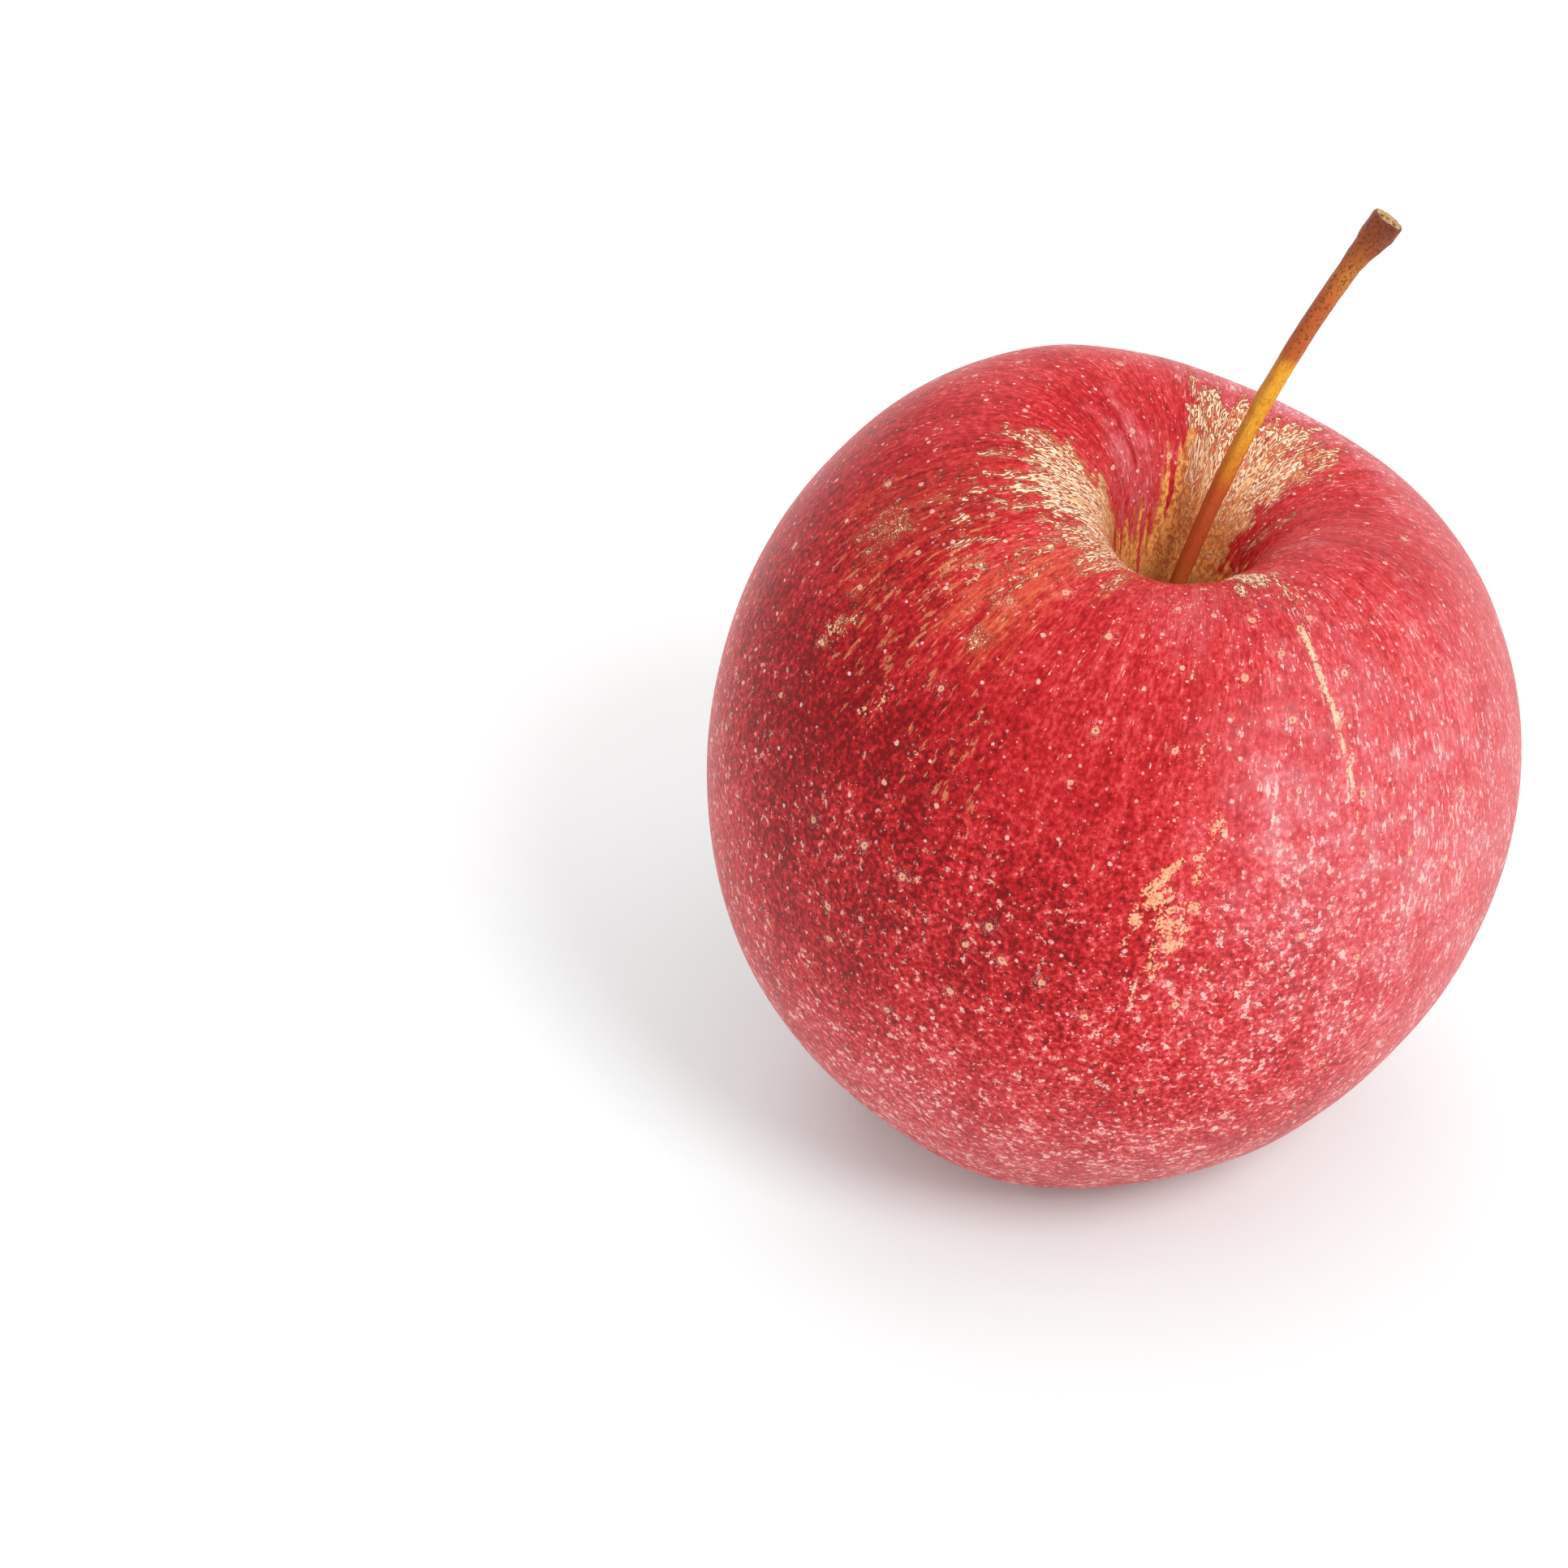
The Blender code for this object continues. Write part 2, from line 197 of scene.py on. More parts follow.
# where a point of the upright, round fruit ends up once it is lobed, wavy and leaning
def grow(radius, heading, height, form):
    swelling = 1 + form["oval"][0] * np.cos(2 * (heading - form["oval"][1]))
    swelling = swelling + form["threeSided"][0] * np.cos(3 * (heading - form["threeSided"][1]))
    crest = form["crestHeight"]
    girthHeight = form["girthLevel"] * crest
    shoulders = np.clip((height - girthHeight) / (crest - girthHeight), 0.0, 1.0)
    rim = form["cavityWalls"][0][0] * form["crestRadius"]
    wave = form["shoulderWave"][0] * np.cos(2 * (heading - form["shoulderWave"][1]))
    wave = wave * shoulders * fadeIn(radius / rim)
    valley = form["lobeHeight"] * (1 - np.cos(5 * (heading - form["lobeHeading"])))
    valley = valley * np.maximum(1 - height / (form["lobeReach"] * crest), 0.0) ** 2
    valley = valley * fadeIn(radius / form["baseRadius"])
    shift, coreHeight, lean = coreAt(height + wave + valley, form)
    along = radius * swelling * np.cos(heading - form["leanHeading"])
    across = radius * swelling * np.sin(heading - form["leanHeading"])
    forward = shift + along * np.cos(lean)
    upward = coreHeight - along * np.sin(lean) - form["flatDepth"]
    turnX, turnY = math.cos(form["leanHeading"]), math.sin(form["leanHeading"])
    return np.stack((forward * turnX - across * turnY, forward * turnY + across * turnX, upward), -1)


# soft noise from -1 to 1 at each point
def noiseAt(points, size, seed):
    offset = Vector((seed * 7.31, seed * 3.17, seed * 5.73))
    return np.array([noise.noise(Vector(p) / size + offset) for p in points])


rings = fruitRings(fruitForm)
ringCount, columnCount = len(rings), fruitForm["columns"]
headings = np.arange(columnCount) * 2 * math.pi / columnCount
headingGrid = np.tile(headings, ringCount)
radiusGrid = np.repeat(rings[:, 0], columnCount)
heightGrid = np.repeat(rings[:, 1], columnCount)
shareGrid = np.repeat(rings[:, 2], columnCount)
skinPoints = grow(radiusGrid, headingGrid, heightGrid, fruitForm)

# the solid stands with its box centred on the origin, so the skin moves there too
fruitLow, fruitHigh = (np.array(corner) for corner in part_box("fruit"))
placeShift = (fruitLow + fruitHigh) / 2 - (skinPoints.min(0) + skinPoints.max(0)) / 2
placeShift[2] = 0.0
skinPoints = skinPoints + placeShift


# places for a pattern that follows the fruit from calyx to stem
def alongFruit(across, along):
    return np.stack((np.cos(headingGrid) * across, np.sin(headingGrid) * across, shareGrid * along), -1)


# low swells all over, and shallow flutes that run down from the cavity
def addRelief(points):
    shaped = points.reshape(ringCount, columnCount, 3)
    alongWay = np.gradient(shaped, axis=0)
    roundWay = np.roll(shaped, -1, axis=1) - np.roll(shaped, 1, axis=1)
    normals = np.cross(roundWay, alongWay)
    normals /= np.linalg.norm(normals, axis=2, keepdims=True) + 1e-12
    (broadSize, broadHeight), (smallSize, smallHeight) = fruitForm["swells"]
    lift = noiseAt(points, broadSize, 1) * broadHeight + noiseAt(points, smallSize, 2) * smallHeight
    for seed, (across, along, height, low, high) in zip((3, 4), fruitForm["flutes"]):
        lift += noiseAt(alongFruit(across, along), 1.0, seed) * height * rise(shareGrid, low, high)
    outside = rise(shareGrid, 0.02, 0.10) * (1 - rise(shareGrid, 0.93, 0.99))
    return points + normals.reshape(-1, 3) * (lift * outside)[:, None]


skinPoints = addRelief(skinPoints)
skinPoints[:, 2] = np.maximum(skinPoints[:, 2], 0.0)
skinFaces = gridFaces(ringCount, columnCount)
tubeEnd = skinPoints[:columnCount].mean(0)
socketEnd = skinPoints[-columnCount:].mean(0)
skinVerts = np.vstack((skinPoints, tubeEnd, socketEnd))
topRow = (ringCount - 1) * columnCount
for column in range(columnCount):
    after = (column + 1) % columnCount
    skinFaces.append((after, column, len(skinPoints)))
    skinFaces.append((topRow + column, topRow + after, len(skinPoints) + 1))
skin = addPiece("apple_skin", skinVerts, skinFaces, "fruit", "skin")
print("fruit:", len(skinFaces), "faces")

# the stem: a bent stalk that thickens to its broken-off knob
stemForm = {
    "length": 0.0511,
    "leans": (0.258, 0.450, 0.644),
    "node": 0.6,
    "heading": 0.27,
    "foot": 0.00076,
    "shank": 0.00078,
    "neck": 0.00096,
    "knob": 0.00154,
    "knobLength": 0.0056,
    "seat": 0.0022,
    "kink": 0.045,
    "kinkReach": 0.018,
    "nodeSwell": 0.00005,
    "roughness": 0.00006,
    "knobFacing": 3.9,
    "rings": 190,
    "sides": 40,
}


# shares, points and directions along the stem's middle line, from its seat to its end
def stemRoute(form):
    shares = np.linspace(-form["seat"] / form["length"], 1.0, form["rings"])
    leans = np.interp(shares, (0.0, form["node"], 1.0), form["leans"])
    above = np.exp(-((shares - form["node"] - 0.02) / form["kinkReach"]) ** 2)
    below = np.exp(-((shares - form["node"] + 0.03) / form["kinkReach"]) ** 2)
    leans = leans + form["kink"] * above - form["kink"] * below
    steps = np.diff(shares) * form["length"]
    ways = np.stack((np.sin(leans) * math.cos(form["heading"]),
                     np.sin(leans) * math.sin(form["heading"]), np.cos(leans)), -1)
    middle = (ways[1:] + ways[:-1]) / 2
    points = np.vstack((np.zeros(3), np.cumsum(middle * steps[:, None], axis=0)))
    atFoot = np.array([np.interp(0.0, shares, points[:, axis]) for axis in range(3)])
    return shares, points - atFoot, ways


# rings round the middle line; each point also keeps where it is, round and along the stem
def stemMesh(form, foot):
    shares, points, ways = stemRoute(form)
    points = points + foot
    side = np.array((-math.sin(form["heading"]), math.cos(form["heading"]), 0.0))
    knobStart = 1 - form["knobLength"] / form["length"]
    base = np.interp(shares, (0.0, form["node"] * 0.5, knobStart),
                     (form["foot"], form["shank"], form["neck"]))
    flare = rise(shares, knobStart, 0.985) * (form["knob"] - form["neck"])
    nodeSwell = form["nodeSwell"] * np.exp(-((shares - form["node"]) / 0.022) ** 2)
    verts, attributes = [], []
    angles = np.arange(form["sides"]) * 2 * math.pi / form["sides"]
    for share, point, way, radius, extra, swell in zip(shares, points, ways, base, flare, nodeSwell):
        up = np.cross(way, side)
        for angle in angles:
            out = math.cos(angle) * side + math.sin(angle) * up
            rough = noise.noise(Vector((math.cos(angle) * 1.3, math.sin(angle) * 1.3, share * 9)))
            fine = noise.noise(Vector((math.cos(angle) * 3.1, math.sin(angle) * 3.1, share * 60)))
            oneSided = 1 + 0.35 * math.cos(angle - form["knobFacing"])
            size = radius + swell + extra * oneSided
            size += rough * form["roughness"] + fine * 0.000025 * (1 + 4 * (share > knobStart))
            verts.append(point + out * size)
            attributes.append((math.cos(angle), math.sin(angle), share, 0.0))
    # the broken end: a rolled rim, then a pitted face that dips to the middle
    rows = form["rings"]
    way, up, end = ways[-1], np.cross(ways[-1], side), points[-1]
    edge = np.array(verts[-form["sides"]:])
    centre = edge.mean(0)
    endRings = ((0.93, 0.00022), (0.80, 0.00026), (0.62, 0.00010), (0.40, 0.00004), (0.18, 0.00000))
    for inward, lift in endRings:
        for i, corner in enumerate(edge):
            bump = noise.noise(Vector(corner * 1800 + way * inward * 3)) * 0.00016
            verts.append(centre + (corner - centre) * inward + way * (lift + bump * (1 - 0.4 * inward)))
            attributes.append((math.cos(angles[i]), math.sin(angles[i]), 1.0, 1 - inward))
        rows += 1
    faces = gridFaces(rows, form["sides"])
    verts.append(centre + way * 0.00002)
    verts.append(np.array(verts[:form["sides"]]).mean(0))
    attributes += [(0.0, 0.0, 1.0, 1.0), (0.0, 0.0, shares[0], 0.0)]
    lastRow = (rows - 1) * form["sides"]
    for i in range(form["sides"]):
        after = (i + 1) % form["sides"]
        faces.append((lastRow + i, lastRow + after, len(verts) - 2))
        faces.append((after, i, len(verts) - 1))
    return verts, faces, np.array(attributes)


# one or more points of the placed fruit, before its relief
def growAt(radius, heading, height):
    spot = grow(np.atleast_1d(radius), np.atleast_1d(heading), np.atleast_1d(height), fruitForm)
    return spot + placeShift


cavityBottom = growAt(0.0, 0.0, fruitForm["crestHeight"] - fruitForm["cavityDepth"])[0]
stemVerts, stemFaces, stemWay = stemMesh(stemForm, cavityBottom)
stem = addPiece("apple_stem", stemVerts, stemFaces, "stem", "stem_bark")
print("stem:", len(stemFaces), "faces")

# where the skin changes: soft fields over heading (degrees) and share (calyx 0, stem 1)
skinDegrees = (np.degrees(headingGrid) + 180.0) % 360.0 - 180.0
outlineMm = 135.7

# ragged edges: every field is read a little off its place, drawn out along the flesh's fibres
raggedness = {
    "degrees": (7.0, 5.0),
    "shares": (0.050, 0.018, 0.012),
    "coarse": 0.0017,
    "fine": 0.0008,
}
raggedFibre = noiseAt(alongFruit(15, 10), 1.0, 6)
raggedCoarse = noiseAt(skinPoints, raggedness["coarse"], 7)
raggedFine = noiseAt(skinPoints, raggedness["fine"], 8)
turnLimit = np.minimum(1.0, 0.012 / np.maximum(radiusGrid, 0.001))
coarseTurn, fineTurn = raggedness["degrees"]
fieldDegrees = skinDegrees + (coarseTurn * raggedCoarse + fineTurn * raggedFine) * turnLimit
fibreShift, coarseShift, fineShift = raggedness["shares"]
fieldShare = shareGrid + fibreShift * raggedFibre + coarseShift * raggedCoarse + fineShift * raggedFine


# degrees round from a heading, from -180 to 180
def turnAway(degrees, centre):
    return (degrees - centre + 180.0) % 360.0 - 180.0


# 1 inside the box, falling to 0 over its soft edges
def band(centre, halfWidth, shareLow, shareHigh, softDegrees=2.0, softShare=0.01):
    away = np.abs(turnAway(fieldDegrees, centre))
    across = 1 - rise(away, halfWidth - softDegrees, halfWidth + softDegrees)
    along = rise(fieldShare, shareLow - softShare, shareLow + softShare)
    along *= 1 - rise(fieldShare, shareHigh - softShare, shareHigh + softShare)
    return across * along


# 1 in the middle, 0 at the rim of an oval
def oval(centre, share, halfDegrees, halfShare):
    reach = np.hypot(turnAway(fieldDegrees, centre) / halfDegrees, (fieldShare - share) / halfShare)
    return 1 - fadeIn(reach)


# millimetres over the skin to a line through (degrees, share) points
def awayFromLine(points):
    local = np.maximum(radiusGrid * 1000, 1.0) * math.pi / 180
    best = np.full(len(skinDegrees), 99.0)
    for start, end in zip(points, points[1:]):
        acrossA, alongA = turnAway(skinDegrees, start[0]) * local, (shareGrid - start[1]) * outlineMm
        acrossB, alongB = (end[0] - start[0]) * local, (end[1] - start[1]) * outlineMm
        reach = (acrossA * acrossB + alongA * alongB) / (acrossB ** 2 + alongB ** 2)
        reach = np.clip(reach, 0.0, 1.0)
        best = np.minimum(best, np.hypot(acrossA - acrossB * reach, alongA - alongB * reach))
    return best


# russet: corky net on the cavity's back wall, over the left shoulder and on the right of the rim
russetBands = [
    # centre, half width, share low, share high, soft degrees, soft share, strength
    (68.0, 25.0, 0.770, 0.945, 2.0, 0.022, 0.98),
    (48.0, 12.0, 0.780, 0.900, 4.0, 0.020, 0.86),
    (184.0, 17.0, 0.778, 0.915, 6.0, 0.030, 1.08),
    (202.0, 15.0, 0.800, 0.890, 6.0, 0.032, 1.00),
    (219.0, 18.0, 0.790, 0.880, 6.0, 0.032, 0.96),
    (236.0, 12.0, 0.812, 0.862, 7.0, 0.026, 0.74),
    (-69.5, 9.0, 0.800, 0.856, 3.5, 0.020, 1.10),
    (-66.8, 1.6, 0.772, 0.810, 0.8, 0.008, 0.80),
    (-62.8, 1.2, 0.778, 0.810, 0.6, 0.006, 0.80),
    (189.5, 1.4, 0.725, 0.780, 0.8, 0.010, 0.90),
    (183.5, 1.0, 0.735, 0.790, 0.7, 0.010, 0.85),
    (197.5, 1.2, 0.742, 0.800, 0.8, 0.010, 0.85),
    (208.5, 1.2, 0.752, 0.806, 0.8, 0.010, 0.85),
    (193.2, 2.0, 0.670, 0.780, 1.5, 0.015, 0.55),
    (203.5, 1.2, 0.782, 0.812, 0.7, 0.006, 0.90),
    (-59.3, 0.9, 0.772, 0.800, 0.6, 0.006, 0.75),
    (150.0, 35.0, 0.905, 0.960, 12.0, 0.014, 0.55),
]
russetOvals = [
    # centre, share, half degrees, half share, strength
    (-171.0, 0.695, 12.0, 0.050, 0.78),
    (-170.5, 0.668, 8.0, 0.024, 0.80),
    (-157.0, 0.730, 6.0, 0.024, 0.84),
    (-149.5, 0.722, 5.0, 0.024, 0.84),
    (-140.3, 0.735, 5.0, 0.040, 0.92),
    (-138.0, 0.712, 6.5, 0.024, 0.88),
    (-134.2, 0.716, 3.0, 0.010, 0.62),
    (-154.0, 0.690, 5.0, 0.020, 0.78),
    (-147.0, 0.770, 9.0, 0.024, 0.74),
    (-128.6, 0.648, 4.0, 0.020, 0.70),
    (-161.0, 0.655, 6.0, 0.024, 0.70),
    (-146.0, 0.660, 4.0, 0.018, 0.44),
    (-178.0, 0.722, 3.0, 0.014, 0.55),
    (-64.8, 0.765, 1.8, 0.022, 0.66),
    (36.0, 0.810, 9.0, 0.050, 0.62),
    (26.0, 0.875, 20.0, 0.050, 0.80),
]
blotchOvals = [
    # centre, share, half degrees, half share, strength
    (-84.9, 0.619, 3.8, 0.017, 1.10),
    (-91.0, 0.599, 4.4, 0.018, 1.20),
    (-87.3, 0.593, 2.4, 0.013, 0.95),
    (-92.4, 0.573, 3.4, 0.020, 1.15),
    (-87.2, 0.574, 4.8, 0.016, 1.20),
    (-89.9, 0.551, 3.4, 0.014, 0.95),
    (-93.6, 0.640, 1.4, 0.014, 0.75),
    (-83.1, 0.530, 1.6, 0.014, 0.62),
    (-89.1, 0.650, 1.2, 0.014, 0.62),
    (-88.4, 0.672, 2.0, 0.010, 0.60),
    (-140.4, 0.735, 3.4, 0.034, 0.46),
    (-138.5, 0.712, 5.0, 0.020, 0.46),
    (-171.0, 0.675, 8.0, 0.026, 0.36),
    (-170.0, 0.705, 8.0, 0.026, 0.36),
    (-155.0, 0.715, 3.4, 0.016, 0.52),
    (-149.5, 0.715, 3.4, 0.016, 0.52),
    (-154.0, 0.689, 4.0, 0.016, 0.50),
    (-148.0, 0.700, 3.0, 0.014, 0.50),
    (-128.5, 0.650, 2.4, 0.014, 0.60),
    (-134.0, 0.625, 3.0, 0.014, 0.52),
    (-160.0, 0.645, 4.0, 0.016, 0.56),
    (-145.0, 0.635, 3.0, 0.014, 0.52),
    (-122.5, 0.623, 2.0, 0.010, 0.50),
    (58.0, 0.560, 5.0, 0.020, 0.60),
    (160.0, 0.500, 4.0, 0.016, 0.55),
]


# the strongest of all patches at each point
def gather(ovals, bands=()):
    strongest = np.zeros(len(skinDegrees))
    for centre, half, low, high, softDegrees, softShare, strength in bands:
        patch = band(centre, half, low, high, softDegrees, softShare)
        strongest = np.maximum(strongest, patch * strength)
    for centre, share, halfDegrees, halfShare, strength in ovals:
        strongest = np.maximum(strongest, oval(centre, share, halfDegrees, halfShare) * strength)
    return strongest


skinFields = {
    "russet": gather(russetOvals, russetBands),
    "blotch": gather(blotchOvals),
    "shade": rise(shareGrid, 0.900, 0.975),
}

# thin healed scars: the first runs down from the rim and splits into a loop on its way
scarLines = [
    # width in millimetres, then (degrees, share) points
    (0.54, [(-65.6, 0.765), (-64.9, 0.745), (-64.2, 0.722), (-63.1, 0.708)]),
    (0.42, [(-63.1, 0.708), (-62.5, 0.690), (-61.4, 0.674), (-60.9, 0.660)]),
    (0.26, [(-61.0, 0.664), (-60.7, 0.646), (-59.5, 0.630), (-58.4, 0.617)]),
    (0.22, [(-62.0, 0.703), (-60.3, 0.696), (-59.6, 0.687), (-59.8, 0.677), (-60.9, 0.665)]),
    (0.29, [(-90.4, 0.540), (-91.1, 0.518), (-91.5, 0.497)]),
    (0.22, [(-61.5, 0.808), (-57.0, 0.795), (-52.6, 0.777)]),
    (0.22, [(-63.2, 0.800), (-60.2, 0.788), (-57.6, 0.774)]),
    (0.20, [(-93.4, 0.752), (-93.0, 0.730)]),
    (0.22, [(-62.6, 0.542), (-61.4, 0.524)]),
    (0.20, [(-50.4, 0.488), (-49.4, 0.458)]),
    (0.26, [(118.0, 0.600), (121.0, 0.566), (120.0, 0.540)]),
    (0.29, [(32.0, 0.700), (30.5, 0.660), (31.5, 0.618), (30.8, 0.590)]),
]
scarReach = np.minimum.reduce([awayFromLine(line) / width for width, line in scarLines])
skinFields["scar"] = np.minimum(scarReach, 9.0)

# golden ground under the russet and deep in the cavity
skinFields["gold"] = np.maximum.reduce([
    band(67.0, 26.0, 0.850, 1.0, 3.0, 0.035),
    band(104.0, 13.0, 0.868, 1.0, 5.0, 0.008) * 0.95,
    band(96.0, 4.5, 0.838, 1.0, 1.5, 0.010) * 0.80,
    band(186.0, 19.0, 0.850, 1.0, 5.0, 0.020) * 0.85,
    band(214.0, 20.0, 0.850, 1.0, 6.0, 0.020) * 0.60,
    rise(fieldShare, 0.885, 0.925) * 0.90,
    (1 - rise(fieldShare, 0.030, 0.085)) * 0.62,
    oval(-138.0, 0.730, 6.0, 0.045) * 0.30,
    oval(-170.0, 0.690, 8.0, 0.040) * 0.25,
])
skinFields["orange"] = np.maximum.reduce([
    band(64.0, 22.0, 0.790, 0.90, 5.0, 0.030) * 0.95,
    band(84.0, 8.0, 0.815, 0.88, 3.0, 0.020) * 0.60,
    band(186.0, 22.0, 0.810, 0.90, 6.0, 0.030) * 0.55,
    band(222.0, 22.0, 0.780, 0.88, 8.0, 0.030) * 0.45,
    band(-140.0, 12.0, 0.690, 0.80, 8.0, 0.030) * 0.40,
    band(-170.0, 16.0, 0.640, 0.78, 8.0, 0.030) * 0.25,
])

# deeper red on the left flank and inside the shoulder, partly the skin's own crimson and partly painted shade
# on the left flank; and a paler, hazy right side and base, partly the skin's own waxy bloom and partly
# painted highlight and sheen
skinFields["deepAndShade"] = np.clip(
    oval(-136.0, 0.545, 38.0, 0.210) * 1.20
    + oval(-172.0, 0.630, 34.0, 0.210) * 0.85
    + oval(-103.0, 0.580, 18.0, 0.130) * 0.72
    + oval(138.0, 0.815, 60.0, 0.050) * 0.35
    + oval(70.0, 0.560, 44.0, 0.140) * 0.45
    + oval(150.0, 0.420, 36.0, 0.140) * 0.40,
    0.0, 1.0)
# the pale field is partly the skin's own bloom and partly painted highlight and sheen: the key light's
# highlight near -76 degrees and the whitish sheen on the right side, back crest and rim
skinFields["paleBloomAndSheen"] = np.clip(
    oval(-24.0, 0.520, 46.0, 0.340) * 0.72
    + oval(-60.0, 0.620, 38.0, 0.240) * 0.72
    + oval(-76.0, 0.676, 12.0, 0.075) * 0.40
    + oval(-92.0, 0.775, 16.0, 0.050) * 0.30
    + (1 - rise(shareGrid, 0.22, 0.46)) * 0.30
    + oval(64.0, 0.735, 80.0, 0.055) * 0.85
    + oval(138.0, 0.865, 40.0, 0.050) * 0.70
    + oval(-18.0, 0.860, 34.0, 0.050) * 0.40
    + oval(12.0, 0.640, 30.0, 0.160) * 0.35,
    0.0, 1.0)
skinFields["amber"] = gather([(-154.0, 0.690, 36.0, 0.110, 1.0), (-128.0, 0.610, 16.0, 0.080, 0.6)])
# where grain is drawn out into short streaks
skinFields["streaky"] = np.clip(
    rise(shareGrid, 0.52, 0.74) + oval(-35.0, 0.560, 34.0, 0.260) * 0.8, 0.0, 1.0)

# pale breathing spots, spread evenly over the skin with no two close together
spotPlan = {
    "big": {"count": 640, "apart": 0.0032, "small": 0.00017, "large": 0.00042, "seed": 11},
    "fine": {"count": 3600, "apart": 0.0009, "small": 0.00008, "large": 0.00021, "seed": 12},
}


def spreadSpots(plan):
    chance = random.Random(plan["seed"])
    cells, spots = {}, []
    size = plan["apart"]
    weights = np.maximum(radiusGrid, 0.002) * ((shareGrid > 0.03) & (shareGrid < 0.90))
    reach = np.cumsum(weights)
    for _ in range(plan["count"] * 3):
        if len(spots) >= plan["count"]:
            break
        index = int(np.searchsorted(reach, chance.random() * reach[-1]))
        row, column = divmod(index, columnCount)
        row = min(row, ringCount - 2)
        corners = [skinPoints[(row + a) * columnCount + (column + b) % columnCount]
                   for a, b in ((0, 0), (0, 1), (1, 1), (1, 0))]
        s, t = chance.random(), chance.random()
        lower = corners[0] * (1 - s) + corners[1] * s
        upper = corners[3] * (1 - s) + corners[2] * s
        spot = lower * (1 - t) + upper * t
        key = tuple(int(math.floor(x / size)) for x in spot)
        around = [cells.get((key[0] + a, key[1] + b, key[2] + c), ())
                  for a in (-1, 0, 1) for b in (-1, 0, 1) for c in (-1, 0, 1)]
        if any(math.dist(spot, other) < size for cell in around for other in cell):
            continue
        cells.setdefault(key, []).append(tuple(spot))
        width = plan["small"] + (plan["large"] - plan["small"]) * chance.random() ** 1.6
        spots.append((*spot, width))
    return np.array(spots)


# the index of the nearest spot to each centre
def nearestSpots(centres, spots):
    tree = KDTree(len(spots))
    for i, spot in enumerate(spots):
        tree.insert(spot[:3], i)
    tree.balance()
    return np.array([tree.find(centre)[1] for centre in centres])


# a named value that a material can read back
def storeField(mesh, name, kind, domain, values):
    layer = mesh.attributes.new(name, kind, domain)
    layer.data.foreach_set("vector" if kind == "FLOAT_VECTOR" else "value",
                           np.ascontiguousarray(values, dtype=np.float32).ravel())


# adds the values for the two points that close the tube and the socket
def withEnds(values):
    return np.concatenate((values, values[:columnCount].mean(0, keepdims=True),
                           values[-columnCount:].mean(0, keepdims=True)))


storeField(stem.data, "stemWay", "FLOAT_VECTOR", "POINT", stemWay[:, :3])
storeField(stem.data, "cut", "FLOAT", "POINT", stemWay[:, 3])
storeField(skin.data, "skinWay", "FLOAT_VECTOR", "POINT", withEnds(alongFruit(1, 1)))
for name, values in skinFields.items():
    storeField(skin.data, name, "FLOAT", "POINT", withEnds(values))


# one flat map: round the fruit in u with the cut at the back left, calyx to stem in v
def mapSkin(mesh):
    shaped = skinPoints.reshape(ringCount, columnCount, 3)
    steps = np.linalg.norm(np.diff(shaped, axis=0), axis=2).mean(1)
    up = np.concatenate(([0.0], np.cumsum(steps)))
    up = 0.005 + 0.99 * up / up[-1]
    flat = mesh.uv_layers.new(name="OFBake")
    cut = columnCount * 135 // 360
    for face in mesh.polygons:
        corners = [mesh.loops[i].vertex_index for i in face.loop_indices]
        columns = [(v % columnCount - cut) % columnCount for v in corners if v < len(skinPoints)]
        wraps = max(columns) - min(columns) > columnCount / 2
        for i, v in zip(face.loop_indices, corners):
            if v < len(skinPoints):
                column = (v % columnCount - cut) % columnCount
                column += columnCount if wraps and column == 0 else 0
                flat.data[i].uv = (column / columnCount, up[v // columnCount])
            else:
                middle = sum(columns) / len(columns) + (columnCount / 2 if wraps else 0)
                flat.data[i].uv = (middle / columnCount, 0.0 if v == len(skinPoints) else 1.0)


mapSkin(skin.data)
faceCentres = np.empty(len(skin.data.polygons) * 3, dtype=np.float32)
skin.data.polygons.foreach_get("center", faceCentres)
faceCentres = faceCentres.reshape(-1, 3)
for name, plan in spotPlan.items():
    spots = spreadSpots(plan)
    nearest = nearestSpots(faceCentres, spots)
    storeField(skin.data, name + "Centre", "FLOAT_VECTOR", "FACE", spots[nearest, :3] * 1000)
    storeField(skin.data, name + "Size", "FLOAT", "FACE", spots[nearest, 3] * 1000)
    print("spots:", name, len(spots))


# one shader node, with its inputs linked or set; it joins the tree its linked inputs are in
def addNode(kind, inputs, tree=None, **settings):
    isLinked = {key: isinstance(value, bpy.types.NodeSocket) for key, value in inputs.items()}
    if tree is None:
        tree = next(value.id_data for key, value in inputs.items() if isLinked[key])
    made = tree.nodes.new(kind)
    for key, value in settings.items():
        setattr(made, key, value)
    for key, value in inputs.items():
        if isLinked[key]:
            tree.links.new(value, made.inputs[key])
        else:
            made.inputs[key].default_value = value
    return made


def useGroup(group, **inputs):
    return addNode("ShaderNodeGroup", inputs, node_tree=group).outputs


def doMath(operation, a, b=0.0, clamp=False):
    return addNode("ShaderNodeMath", {0: a, 1: b}, operation=operation, use_clamp=clamp).outputs[0]


# one value times another
def part(amount, factor):
    return doMath("MULTIPLY", amount, factor)


def total(*values):
    result = values[0]
    for value in values[1:]:
        result = doMath("ADD", result, value)
    return result


# each value times its amount in the table, added up
def addUp(values, amounts):
    return total(*(part(value, amounts[name]) for name, value in values.items()))


# a pattern moved to swing round zero, then scaled
def centred(value, factor):
    return part(doMath("SUBTRACT", value, 0.5), factor)


def inverse(value):
    return doMath("SUBTRACT", 1.0, value)


# a soft step from 0 to 1 between low and high
def stepUp(value, low, high):
    inputs = {"Value": value, "From Min": low, "From Max": high}
    return addNode("ShaderNodeMapRange", inputs, interpolation_type="SMOOTHSTEP").outputs[0]


def between(amount, first, second):
    return addNode("ShaderNodeMix", {0: amount, 2: first, 3: second}, data_type="FLOAT").outputs[0]


